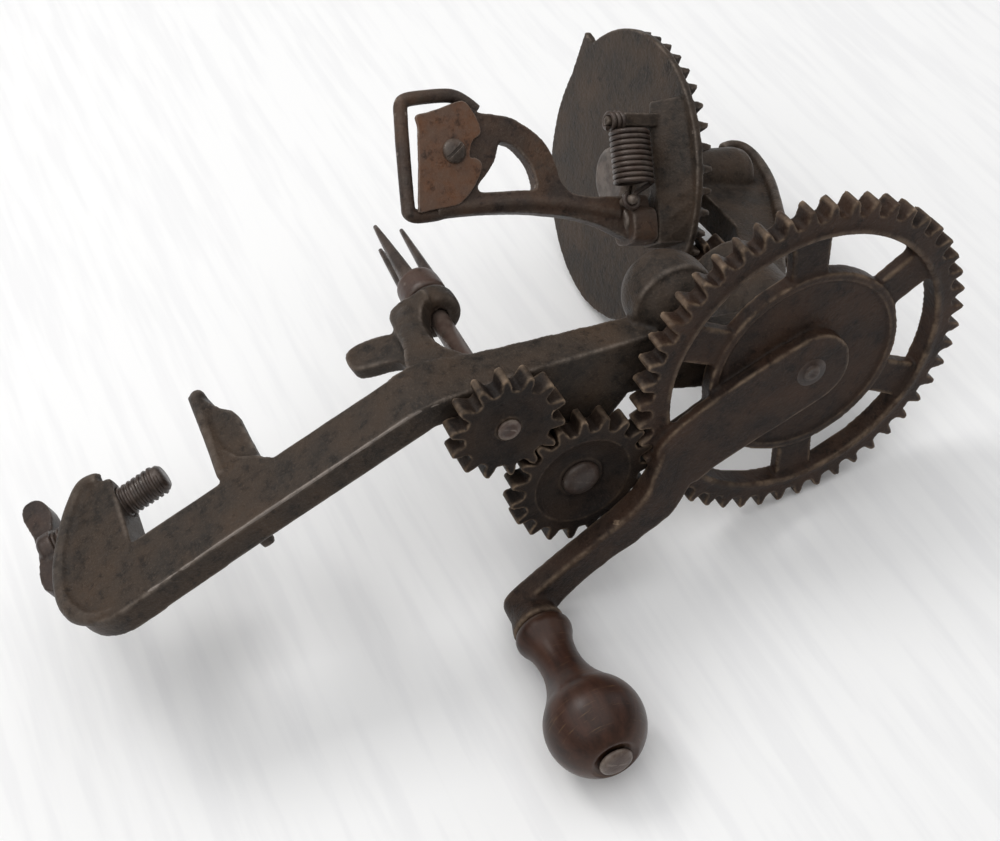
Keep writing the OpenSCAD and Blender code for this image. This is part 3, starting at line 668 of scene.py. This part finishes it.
def toothMesh(name, p, gear):
    # one tooth with a rounded tip, standing on the gear's axis
    pitch, step = gear["teeth"] * p["module"] / 2, 360 / gear["teeth"]
    flank = [(pitch + d * p["module"], step * p["share"] * a) for d, a in p["flank"]]
    outline = [(r, gear["phase"] - a) for r, a in flank]
    outline += [(r, gear["phase"] + a) for r, a in reversed(flank)]

    def toPoint(r, angle, x):
        a = math.radians(angle)
        return Vector((x, r * math.cos(a), r * math.sin(a))) * mm

    return place(name, prism(outline, toPoint, gear["back"], gear["front"]))


def castGear(blank, name, axis, p):
    tooth = toothMesh(name + "Tooth", toothShape, p)
    centre = layout[axis]
    mesh = growNodes(name, blank, teethRound, teethIds, {
        "Tooth": tooth, "Count": p["teeth"], "Centre": (0, centre[1] * mm, centre[2] * mm),
        "Finish": toothIron})
    bpy.data.objects.remove(tooth)
    return castMesh([mesh], p["grain"], p["soften"])


def ringBody(axis, inner, outer, low, high):
    return ringTurned([(low, inner), (low, outer), (high, outer), (high, inner)], axis)


def disc(axis, low, high, radius):
    return turned([(0, radius), (high - low, radius)], atGear(axis, low, 0, 0), axisX, 96)


driveGear = {
    "teeth": 48, "phase": 3.5, "back": 44.4, "front": 51, "rootRadius": 50.4, "band": 6, "webIn": 1,
    "webThick": 4.2, "disc": 31, "spokes": 6, "spokeHalf": 5, "spokeFlare": 1.2, "hub": 12, "hubFace": 54.2,
    "grain": 0.6, "soften": 4,
    "rimBead": (0.4, 1.9, 0.5), "discBead": (-2.0, 0.6, 0.9),  # from, to, proud
    "crankAngle": 279, "crankBack": 51.8, "crankFront": 58.8, "crankIn": 0.6, "crankGrain": 0.7,
    "crankSoften": 8, "riseFrom": 42, "riseOver": 18, "riseLow": 0.25, "bossIn": 2,
    "boss": [(0, 6.4), (3, 7.0), (6.0, 8.0), (7.4, 8.3), (8, 8.2)],
    "panel": [(-13, 0), (-9.2, -9.2), (0, -13), (22, -17), (42, -18), (50, -14), (52, -4), (48, 5.4),
              (38, 6.4), (20, 9.6), (0, 13), (-9.2, 9.2)],
    "crank": [(43, -15.4), (49, -13.8), (55, -11.2), (61, -8.4), (68, -7.2), (78, -7), (90, -7), (103, -6.8),
              (112.6, -5.6), (115.8, 0), (112.6, 5.6), (106, 6.2), (98, 4.6), (88, 3.6), (77, 4.2), (66, 5.4),
              (56, 5.4), (48, 4.6), (43, 3)],
    "rib": [(0, -9), (0, 9), (46.3, 6), (46.3, -14)],
}


def makeDriveGear(p):
    swing = math.radians(p["crankAngle"])
    centre = Vector(layout["drive"])
    outAlong = Vector((0, math.cos(swing), math.sin(swing)))

    def alongCrank(d, s, x):
        return Vector((x, centre[1] + d * math.cos(swing) - s * math.sin(swing),
                       centre[2] + d * math.sin(swing) + s * math.cos(swing))) * mm

    crank = [prism(rounded(p["crank"]), alongCrank, p["crankBack"] - p["crankIn"], p["crankFront"]),
             turned(p["boss"], atGear("handle", p["crankFront"] - p["bossIn"], 0, 0), axisX)]
    crank = castMesh(crank, p["crankGrain"], p["crankSoften"])
    for v in crank.vertices:  # the crank rises out of the panel
        share = min(max(((v.co / mm - centre).dot(outAlong) - p["riseFrom"]) / p["riseOver"], 0), 1)
        rise = p["riseLow"] + (1 - p["riseLow"]) * share * share * (3 - 2 * share)
        v.co.x = (p["crankBack"] + (v.co.x / mm - p["crankBack"]) * rise) * mm
    inner, web = p["rootRadius"] - p["band"], p["back"] + p["webIn"]
    face = web + p["webThick"]
    rimFrom, rimTo, rimProud = p["rimBead"]
    discFrom, discTo, discProud = p["discBead"]
    parts = [ringBody("drive", inner, p["rootRadius"], p["back"], p["front"]),
             ringBody("drive", inner + rimFrom, inner + rimTo, p["back"], p["front"] + rimProud),
             disc("drive", web, face, p["disc"]),
             ringBody("drive", p["disc"] + discFrom, p["disc"] + discTo, web, face + discProud),
             disc("drive", web, p["crankBack"] + 1, p["hub"]),
             prism(rounded(p["panel"]), alongCrank, p["crankBack"] - 1, p["hubFace"]),
             prism(p["rib"], alongCrank, web, p["crankBack"] + 1), crank]
    half, flare = p["spokeHalf"], p["spokeHalf"] + p["spokeFlare"]
    spoke = [(0, -half), (inner + 1, -flare), (inner + 1, flare), (0, half)]
    for i in range(p["spokes"]):
        a = math.radians(360 / p["spokes"] * i)
        outline = [(math.cos(a) * d - math.sin(a) * s, math.sin(a) * d + math.cos(a) * s) for d, s in spoke]
        parts.append(prism(outline, alongCrank, web, face))
    mesh = castGear(joined(parts), "driveTeeth", "drive", p)
    return finishPiece("driveGear", mesh, toothIron, "drive", ["drive_gear"])


makeDriveGear(driveGear)

# way: angle from the axis of the gear that drives this one
smallGear = {"back": 43.4, "front": 50, "rim": 0.5, "hubProud": 0.5, "hubSlope": 0.6, "grain": 0.5,
             "soften": 4}
idlerGear = dict(smallGear, teeth=19, way=261.6, rootRadius=18.6, bore=4.06, dish=15.0, hub=7.6, deep=2.6)
forkPinion = dict(smallGear, teeth=14, way=194.5, rootRadius=13.1, bore=3.0, dish=10.2, hub=4.8, deep=1.0)


def meshedPhase(p, driver):
    # sets a gap of this gear against a tooth of its driver
    ratio = driver["teeth"] / p["teeth"]
    return p["way"] + 180 - ratio * (driver["phase"] - p["way"]) + 180 / p["teeth"]


idlerGear["phase"] = meshedPhase(idlerGear, driveGear)
forkPinion["phase"] = meshedPhase(forkPinion, idlerGear)


def makeSmallGear(name, axis, body, node, p):
    # blank with a hollow face: flat rim, curved dish, small hub
    profile = [(p["back"], p["rootRadius"]), (p["front"], p["rootRadius"]),
               (p["front"], p["dish"] + p["rim"])]
    for i in range(9):
        t = i / 8
        drop = p["deep"] * math.sin(math.pi / 2 * t) ** 0.8
        profile.append((p["front"] - drop, p["dish"] + (p["hub"] - p["dish"]) * t))
    hubFace = p["front"] - p["deep"] + p["hubProud"]
    profile += [(hubFace, p["hub"] - p["hubSlope"]), (hubFace, p["bore"]), (p["back"], p["bore"])]
    mesh = castGear(ringTurned(profile, axis), name + "Teeth", axis, p)
    # the darker finish is painted shade on the small gears
    return finishPiece(name, mesh, smallGearShadeIron, body, [node])


makeSmallGear("idlerGear", "idler", "idler", "idler_gear", idlerGear)
makeSmallGear("forkPinion", "fork", "fork", "fork_pinion", forkPinion)
print("spur gears made")


# shafts, studs and pins: start, axis, finish, body, node, profile

pins = {
    "driveShaft": (atGear("drive", -13, 0, 0), axisX, springSteel, "drive", "drive_shaft",
                   [(0, 2.4), (0.4, 2.75), (7.3, 2.75), (7.3, 4.7), (7.6, 5), (67.0, 5), (67.3, 4.7),
                    (67.3, 2.9), (67.5, 2.8), (67.9, 2.5), (68.05, 1.6), (67.8, 0.9), (67.7, 0)]),
    "idlerStud": (atGear("idler", 32, 0, 0), axisX, springSteel, "frame", "idler_stud",
                  [(0, 4), (15.8, 4), (15.8, 5.7), (16.3, 5.9), (17.0, 5.6), (17.7, 4.8), (18.3, 3.4),
                   (18.6, 1.6), (18.65, 0)]),
    "forkSpindle": (atGear("fork", -19, 0, 0), axisX, pinSteel, "fork", "fork_spindle",
                    [(0, 3), (68.4, 3), (68.6, 3.3), (69.2, 3.4), (69.5, 3.0), (69.6, 2.2), (69.3, 1.6),
                     (69.2, 0)]),
    "handlePin": (atGear("handle", 51.8, 0, 0), axisX, pinSteel, "drive", "handle_pin",
                  [(0, 3.2), (63.4, 3.2), (63.4, 4.7), (63.8, 5), (64.4, 4.8), (64.9, 4.0), (65.15, 2),
                   (65.2, 0)]),
    "tablePivot": (atTable(0, 0, -3.2), axisW, darkSteel, "frame", "table_pivot",
                   [(0, 8.6), (0.5, 10), (1.6, 10.4), (2.8, 10.4), (2.8, 5), (36.2, 5)]),
    "hingePin": (atTable(31, 19.7, -19.2), axisW, darkSteel, "table", "hinge_pin",
                 [(0, 3.0), (0.5, 3.9), (1.0, 4.1), (1.6, 4.1), (1.6, 2.5), (20, 2.5)]),
    "springStud": (atTable(28.5, 14.4, -18.4), armN, darkSteel, "arm", "spring_stud",
                   [(0, 1.6), (11.0, 1.6), (11.5, 1.3), (11.9, 0.6), (11.9, 0)]),
}


def steelPiece(name, mesh, finish, body, node):
    # smooth round the sides, flat on the ends
    obj = finishPiece(name, mesh, finish, body, [node])
    for poly in obj.data.polygons:
        poly.use_smooth = len(poly.vertices) == 4
    return obj


for pieceName, (start, axis, finish, bodyName, nodeName, profile) in pins.items():
    steelPiece(pieceName, turned(profile, start, axis), finish, bodyName, nodeName)
print("shafts and pins made")


# fork

forkHead = {"start": -23.4, "grain": 0.4, "soften": 2, "sag": 0.08,
            "profile": [(0, 5.6), (0.5, 6.4), (1.6, 6.8), (5, 7.0), (8.4, 7.0), (9.4, 6.8), (10.0, 6.2)]}
tines = {"count": 3, "circle": 4.9, "spread": 0.5, "length": 28.6, "root": 3.4, "wide": 2.9, "thick": 1.9,
         "tip": 0.7, "taper": 0.85, "turn": 72, "rings": 14, "sides": 8}


def makeForkHead(p):
    head = turned(p["profile"], atGear("fork", p["start"], 0, 0), axisX)
    mesh = castMesh([head], p["grain"], p["soften"], p["sag"])
    return finishPiece("forkHead", mesh, pinSteel, "fork", ["fork_head"])


def makeTines(p):
    parts = []
    corners = [2 * math.pi * (c + 0.5) / p["sides"] for c in range(p["sides"])]
    for i in range(p["count"]):
        angle = 360 / p["count"] * i + p["turn"]
        a = math.radians(angle)
        out, side = Vector((0, math.cos(a), math.sin(a))), Vector((0, -math.sin(a), math.cos(a)))
        rows = []
        for k in range(p["rings"] + 1):
            t = k / p["rings"]
            grow = (1 - t) ** p["taper"]
            wide, thick = (p["tip"] + (p[key] - p["tip"]) * grow for key in ("wide", "thick"))
            x = forkHead["start"] + p["root"] - t * (p["length"] + p["root"])
            middle = atGear("fork", x, p["circle"] + p["spread"] * t, angle)
            rows.append([middle + (side * math.cos(b) * wide + out * math.sin(b) * thick) * mm
                         for b in corners])
        parts.append(skinned(rows))
    return finishPiece("forkTines", joined(parts), springSteel, "fork", ["fork_tines"])


makeForkHead(forkHead)
makeTines(tines)
print("fork made")


# turntable, knife arm and knife

turntableCast = {
    "grain": 0.45, "soften": 5, "radius": 48.9, "plate": 2.4, "bore": 5.06, "rampFoot": 0.6,
    # e, base from, base to, top from, top to, top height
    "ramp": [(-17, 33, 44.6, 34.6, 36, -6.4), (-8, 33, 46, 34.6, 36.4, -8.0), (4, 33, 46.4, 34.6, 37, -8.3),
             (12, 31, 45.8, 32.6, 37.4, -8.5), (16, 25, 44.6, 26, 37.6, -8.6), (22, 24, 42.6, 26, 37.4, -8.6),
             (28, 25, 39, 26.4, 35.6, -8.6)],
    "lug": [(33, -12.8), (38.6, -12.8), (38.6, -8.6), (33, -8.6)], "lugDepth": (-18.4, -5),
    "peg": (36.4, -10.6, -24.0), "pegRadius": 1.5, "pegLength": 8,
    "cut": [(20, -25), (45, -25), (45, 29), (20, 29)], "cutDepth": (-30, -0.02),
}


def onKnife(e, w, n):
    return atTable(n, e, w)


def makeTurntable(p):
    body = cutFrom(cadMesh("turntable"), prism(p["cut"], atTable, *p["cutDepth"]))
    plate = turned([(0, p["radius"]), (p["plate"], p["radius"])], atTable(0, 0, 0), axisW, 180)
    plate = cutFrom(plate, turned([(-2, p["bore"]), (6, p["bore"])], atTable(0, 0, 0), axisW, 48))
    foot = p["rampFoot"]
    slopes = skinned([[atTable(base0, e, foot), atTable(base1, e, foot),
                       atTable(top1, e, high), atTable(top0, e, high)]
                      for e, base0, base1, top0, top1, high in p["ramp"]])
    peg = turned([(0, p["pegRadius"]), (p["pegLength"], p["pegRadius"])], atTable(*p["peg"]), axisW, 24)
    parts = [body, plate, slopes, prism(p["lug"], atTable, *p["lugDepth"]), peg]
    mesh = castMesh(parts, p["grain"], p["soften"])
    return finishPiece("turntableDisc", mesh, castIron, "table", ["turntable"])


makeTurntable(turntableCast)
tablePinion = castMesh([cadMesh("table_pinion")], grain=0.4, soften=3, sag=0.03)
finishPiece("tablePinion", tablePinion, toothIron, "drive", ["table_pinion"])

knifeSet = {
    "arm": [(-14.5, -66.7), (-13.6, -65.0), (-13.1, -60.2), (-12.2, -54.9), (-10.1, -50.9), (-7.4, -46.9),
            (-3.2, -43.2), (2.2, -41.0), (6.8, -39.8), (10.4, -37.2), (11.9, -32), (12.2, -26), (12.2, -18),
            (12.0, -10.6), (13.4, -9.1), (20, -9.1), (26.4, -9.2), (27.4, -11), (26.6, -16), (23.8, -22),
            (20.6, -29), (18.4, -38), (17.4, -46), (16.8, -52), (16.6, -60), (16.7, -66.2), (16.9, -72.4),
            (17.2, -78.6), (16.4, -81), (8, -81.4), (-6, -81), (-13.6, -79), (-15.6, -73), (-15.6, -69)],
    "window": [(-4.6, -59.4), (-4.6, -57.6), (-3.8, -55.2), (-1.2, -52.3), (2.2, -49.9), (5.9, -48.7),
               (8.7, -48.4), (9.8, -49.6), (9.9, -55.3), (10.2, -63.3), (10.2, -67.0), (9.0, -68.0),
               (7.4, -67.1), (4.0, -63.9), (0.6, -61.5), (-2.6, -60.4)],
    "eye": [(25.6, 17.4), (31, 15.6), (36.6, 17.2), (37.6, 22), (36.4, 26.6), (31, 27.6), (25.4, 26.4),
            (24.6, 22)],
    "rail": [(15.2, -82), (14.4, -70), (13.6, -56), (14.2, -42), (16.2, -28), (17.8, -20)],
    "guard": [(-14.4, -65.6), (-16.8, -68.6), (-18.5, -71.8), (-19.0, -75.4), (-18.4, -82.7), (-17.5, -88.0),
              (-15.9, -89.7), (-12.2, -90.0), (-1.2, -90.3), (13.5, -90.4), (16.0, -90.0), (16.8, -87.5),
              (16.4, -82.5), (15.6, -78.2), (15.0, -70), (14.6, -62)],
    "blade": [(-12.2, -86.4), (-13.2, -83), (-14.6, -78.5), (-16.6, -72.8), (-16.6, -70.4), (-14.4, -68.4),
              (-11.4, -66.8), (-8.4, -65.9), (-6.6, -66.5), (-4.9, -68.8), (-2.4, -69.9), (0.0, -70.2),
              (0.3, -68.4), (1.9, -66.6), (4.5, -67.1), (8.8, -69.7), (12.9, -73.6), (14.4, -76.5),
              (15.4, -83), (16.2, -88.0), (14, -88.2), (8, -87.6), (2, -86.9), (-4.6, -86.5), (-9, -86.2)],
    "back": 28.6, "front": 33.4, "eyeDepth": (-17.8, -9.1), "railAt": 31.6, "railRadius": 2.7, "rodAt": 31.4,
    "rod": 2.15, "bladeOff": 0.1, "bladeThick": 1.1, "sides": 14,
    "armCast": (0.45, 6), "rodCast": (0.36, 4), "bladeCast": (0.26, 3, 0.10),  # grain, soften, sag
}


def makeKnife(p):
    plate = prism(rounded(p["arm"]), onKnife, p["back"], p["front"])
    plate = cutFrom(plate, prism(rounded(p["window"]), onKnife, p["back"] - 4, p["front"] + 4))
    eye = prism(rounded(p["eye"]), atTable, *p["eyeDepth"])
    rail = spline([onKnife(e, w, p["railAt"]) for e, w in p["rail"]], 6)
    mesh = castMesh([plate, eye, tubeMesh(rail, p["railRadius"] * mm, p["sides"])], *p["armCast"])
    finishPiece("knifeArm", mesh, armIron, "arm", ["knife_arm"])
    path = spline([onKnife(e, w, p["rodAt"]) for e, w in p["guard"]], 6)
    mesh = castMesh([tubeMesh(path, p["rod"] * mm, p["sides"])], *p["rodCast"])
    finishPiece("knifeGuard", mesh, armIron, "arm", ["knife_guard"])
    face = p["front"] + p["bladeOff"]
    blade = prism(rounded(p["blade"], 6), onKnife, face, face + p["bladeThick"])
    mesh = castMesh([blade], *p["bladeCast"])
    finishPiece("knifeBlade", mesh, bladeSteel, "arm", ["knife_blade"])


makeKnife(knifeSet)
print("turntable and knife made")

bladeScrew = {"n": 28.5, "e": -1.7, "w": -75.4, "shank": 6.1, "thin": 2, "head": 3.7, "rim": 0.4, "dome": 2.3,
              "slot": 0.9, "slotDepth": 1.2, "slotTurn": 131}


def makeBladeScrew(p):
    profile = [(0, p["thin"]), (p["shank"], p["thin"]), (p["shank"], p["head"] - 0.1)]
    for i in range(9):
        a = math.radians(90 * i / 8)
        profile.append((p["shank"] + p["rim"] + (p["dome"] - p["rim"]) * math.sin(a),
                        p["head"] * math.cos(a)))
    body = turned(profile, atTable(p["n"], p["e"], p["w"]), armN, 48)
    a = math.radians(p["slotTurn"])
    along, across = armE * math.cos(a) + axisW * math.sin(a), axisW * math.cos(a) - armE * math.sin(a)
    top = atTable(p["n"] + p["shank"] + p["dome"], p["e"], p["w"])

    def toPoint(u, v, n):
        return top + (along * u + across * v + armN * n) * mm

    half = p["slot"] / 2
    slot = prism([(-6, -half), (6, -half), (6, half), (-6, half)], toPoint, -p["slotDepth"], 2)
    return steelPiece("bladeScrew", cutFrom(body, slot), darkSteel, "arm", "blade_screw")


makeBladeScrew(bladeScrew)


# spring

armSpring = {"wire": 0.78, "coil": 5.7, "n": 38, "w": -16.8, "start": -7.4, "turns": 10, "pitch": 1.68,
             "loop": 2.5, "loopFrom": 40, "loopTo": 330, "stud": 14.4, "studW": -18.4,
             "hook": 2.3, "hookAt": (36.4, -10.6, -23.4), "hookTurns": 3, "hookPitch": 1.7,
             "smooth": 6, "sides": 12}


def makeSpring(p):
    points = []
    hookN, hookE, hookW = p["hookAt"]
    for i in range(p["hookTurns"] * 8 + 1):  # small turns round the table's peg
        a = math.radians(180 + 45 * i)
        points.append(atTable(hookN + p["hook"] * math.sin(a), hookE - p["hook"] * math.cos(a),
                              hookW + p["hookPitch"] * i / 8))
    for i in range(p["turns"] * 8 + 1):
        a = math.radians(90 + 45 * i)
        points.append(atTable(p["n"] + p["coil"] * math.cos(a), p["start"] + p["pitch"] * i / 8,
                              p["w"] + p["coil"] * math.sin(a)))
    for i in range(10):  # loop round the arm's stud
        a = math.radians(p["loopFrom"] + (p["loopTo"] - p["loopFrom"]) * i / 9)
        points.append(atTable(p["n"], p["stud"] - p["loop"] * math.cos(a),
                              p["studW"] + p["loop"] * math.sin(a)))
    path = spline(points, p["smooth"])
    curve = bpy.data.curves.new("springPath", "CURVE")
    curve.dimensions = "3D"
    line = curve.splines.new("POLY")
    line.points.add(len(path) - 1)
    for point, co in zip(line.points, path):
        point.co = (*co, 1)
    mesh = growNodes("armSpringWire", curve, wireSweep, wireIds,
                     {"Wire Radius": p["wire"] * mm, "Sides": p["sides"], "Finish": springSteel})
    obj = finishPiece("armSpring", mesh, springSteel, None, ["arm_spring"])
    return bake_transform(obj)


makeSpring(armSpring)
print("spring made")


# clamp screw

clampScrew = {
    "root": 4.15, "tip": -16.5, "tipLength": 0.9, "tipIn": 0.8, "threadEnd": 1.6, "hubTop": -53.4,
    "hubFloor": -58.6, "hub": 5.6, "hubSlope": 1.2, "sunk": 3, "pitch": 1.75, "ridge": 0.62, "ridgeOff": 0.05,
    "grain": 0.5, "soften": 6, "wingHalf": 2.6,
    "wing": [(-21.9, -58.6), (-20.4, -55.4), (-16, -53.2), (-11.4, -52.4), (-5, -53.4), (0, -54.0),
             (6, -54.4), (12, -54.5), (16.2, -55.2), (17.4, -57.6), (14.6, -60.2), (8, -60.5), (2, -59.5),
             (-5.8, -59.7), (-11, -60.7), (-16.5, -61.7), (-20.6, -61.1)],
}


def makeClampScrew(p):
    def onScrew(profile, start):
        return turned(profile, Vector((0, 0, start)) * mm, (0, 0, 1), 48)

    core = onScrew([(0, p["root"]), (p["tip"] - p["tipLength"] - p["hubTop"] + p["sunk"], p["root"]),
                    (p["tip"] - p["hubTop"] + p["sunk"], p["root"] - p["tipIn"])], p["hubTop"] - p["sunk"])
    length = p["tip"] - p["threadEnd"] - p["hubTop"]
    mesh = growNodes("threadGrow", core, screwThread, threadIds, {
        "Turns": length / p["pitch"], "Radius": (p["root"] + p["ridgeOff"]) * mm, "Length": length * mm,
        "Ridge": p["ridge"] * mm, "Start": (0, 0, p["hubTop"] * mm), "Finish": springSteel})
    hub = onScrew([(0, p["hub"] - p["hubSlope"]), (p["hubSlope"], p["hub"]),
                   (p["hubTop"] - p["hubFloor"], p["hub"])], p["hubFloor"])
    wing = castMesh([slab(rounded(p["wing"]), -p["wingHalf"], p["wingHalf"]), hub], p["grain"], p["soften"])
    return finishPiece("clampScrew", joined([mesh, wing]), springSteel, "clamp", ["clamp_screw"])


makeClampScrew(clampScrew)
print("clamp screw made")


# grip

gripWood = {"start": 65.2, "ballAt": 37.3, "ball": 14.6, "ballFrom": 28.2, "ballEnd": 31, "bore": 3.26,
            "neck": [(0, 7.4), (0.4, 8.1), (1.6, 8.7), (3.0, 8.8), (4.4, 8.4), (5.8, 7.7), (7.6, 7.0),
                     (10, 6.5), (13, 6.25), (16, 6.35), (18.6, 6.8), (21, 7.5), (23, 8.3), (24.8, 9.25),
                     (26.4, 10.2), (27.4, 10.8)]}


def makeGrip(p):
    profile = list(p["neck"])
    first = 180 - math.degrees(math.acos((p["ballAt"] - p["ballFrom"]) / p["ball"]))
    for i in range(27):
        a = math.radians(first + (p["ballEnd"] - first) * i / 26)
        profile.append((p["ballAt"] + p["ball"] * math.cos(a), p["ball"] * math.sin(a)))
    end, rim = profile[-1]
    profile += [(end + 0.25, rim - 0.6), (end - 0.5, rim - 1.7), (end - 0.6, p["bore"]), (0, p["bore"])]
    mesh = ringTurned([(p["start"] + t, r) for t, r in profile], "handle", 96)
    return finishPiece("gripWood", mesh, turnedWood, "grip", ["handle_grip"])


makeGrip(gripWood)
print("grip made")


# camera, table and light

photoCamera = {"place": (0.3161323, -0.2680362, 0.0822648), "turn": (1.5333599, -0.9847023, 0.8008270),
               "lens": 51.2494}
lens = bpy.data.cameras.new("photoCamera")
lens.lens = photoCamera["lens"]
lens.sensor_width = 36
lens.clip_start = 0.01
cameraObject = place("photoCamera", lens)
cameraObject.location = photoCamera["place"]
cameraObject.rotation_euler = Euler(photoCamera["turn"], "XYZ")
scene.camera = cameraObject

# the tool lies on its side here, so the table top is the plane that its rim, grip and turntable touch
tableTop = {"down": (-0.13597, 0.9478, -0.28844), "reach": 57.8, "half": 1.3, "white": (0.90, 0.90, 0.90),
            "streak": (0.86, 0.86, 0.865), "grain": {"Rotation": (0.2, 0.4, 0.3), "Scale": (1, 1, 14)}}


def makeTable(p):
    up = -Vector(p["down"]).normalized()
    middle = Vector(p["down"]).normalized() * p["reach"] * mm
    side = up.orthogonal().normalized()
    other = up.cross(side)
    corners = [middle + (side * a + other * b) * p["half"] for a, b in ((-1, -1), (1, -1), (1, 1), (-1, 1))]
    mesh = plainMesh("tableTop", corners, [(0, 1, 2, 3)])
    if mesh.polygons[0].normal.dot(up) < 0:
        mesh.flip_normals()
    material, tree, shader, coords = newMaterial("paleTable")
    streaks = ramp(tree, stretchedNoise(tree, coords, p["grain"], 16, 3, 0.5), ((0.45, 0), (0.62, 1)))
    colour = mixColour(tree, streaks, p["white"], p["streak"])
    setInputs(tree, shader, {"Base Color": colour, "Roughness": 0.55, "Specular IOR Level": 0.2})
    # clear to a camera behind it
    clear = tree.nodes.new("ShaderNodeBsdfTransparent").outputs[0]
    behind = tree.nodes.new("ShaderNodeNewGeometry").outputs["Backfacing"]
    seenRay = tree.nodes.new("ShaderNodeLightPath").outputs["Is Camera Ray"]
    hide = mathNode(tree, "MULTIPLY", seenRay, behind)
    blend = addNode(tree, "ShaderNodeMixShader", {0: hide, 1: shader.outputs[0], 2: clear})
    tree.links.new(blend.outputs[0], tree.nodes["Material Output"].inputs["Surface"])
    obj = place("tableTop", mesh)
    obj.data.materials.append(material)
    return up


tableUp = makeTable(tableTop)
turnMatrix = cameraObject.rotation_euler.to_matrix()
cameraRight = turnMatrix @ Vector((1, 0, 0))
viewAhead = turnMatrix @ Vector((0, 0, -1))
tableAway = (viewAhead - tableUp * viewAhead.dot(tableUp)).normalized()
lamps = {  # right, away, up, size, power, colour
    "keyLamp": (-0.55, 0.40, 0.95, 0.36, 3.4, (1, 0.985, 0.965)),
    "topLamp": (-0.30, -0.10, 1.2, 2.6, 24.0, (1, 1, 1)),
    "fillLamp": (0.75, 0.55, 0.6, 0.6, 1.0, (0.97, 0.98, 1)),
}
aim = Vector((0.01, 0.045, 0.09))
for lampName, (right, away, up, size, power, colour) in lamps.items():
    lamp = bpy.data.lights.new(lampName, "AREA")
    lamp.energy, lamp.size, lamp.color = power, size, colour
    lampObject = place(lampName, lamp)
    lampObject.location = aim + cameraRight * right + tableAway * away + tableUp * up
    lampObject.rotation_euler = (aim - lampObject.location).to_track_quat("-Z", "Y").to_euler()
    lampObject.visible_camera = False

world = bpy.data.worlds.new("studio")
scene.world = world
world.use_nodes = True
sky = world.node_tree
soft = sky.nodes["Background"]
setInputs(sky, soft, {"Color": (1, 1, 1), "Strength": 0.25})
seen = addNode(sky, "ShaderNodeBackground", {"Color": (0.92, 0.92, 0.925)})
cameraRay = sky.nodes.new("ShaderNodeLightPath").outputs["Is Camera Ray"]
pick = addNode(sky, "ShaderNodeMixShader", {0: cameraRay, 1: soft.outputs[0], 2: seen.outputs[0]})
sky.links.new(pick.outputs[0], sky.nodes["World Output"].inputs["Surface"])
scene.view_settings.view_transform = "Standard"
print("camera, table and light set")
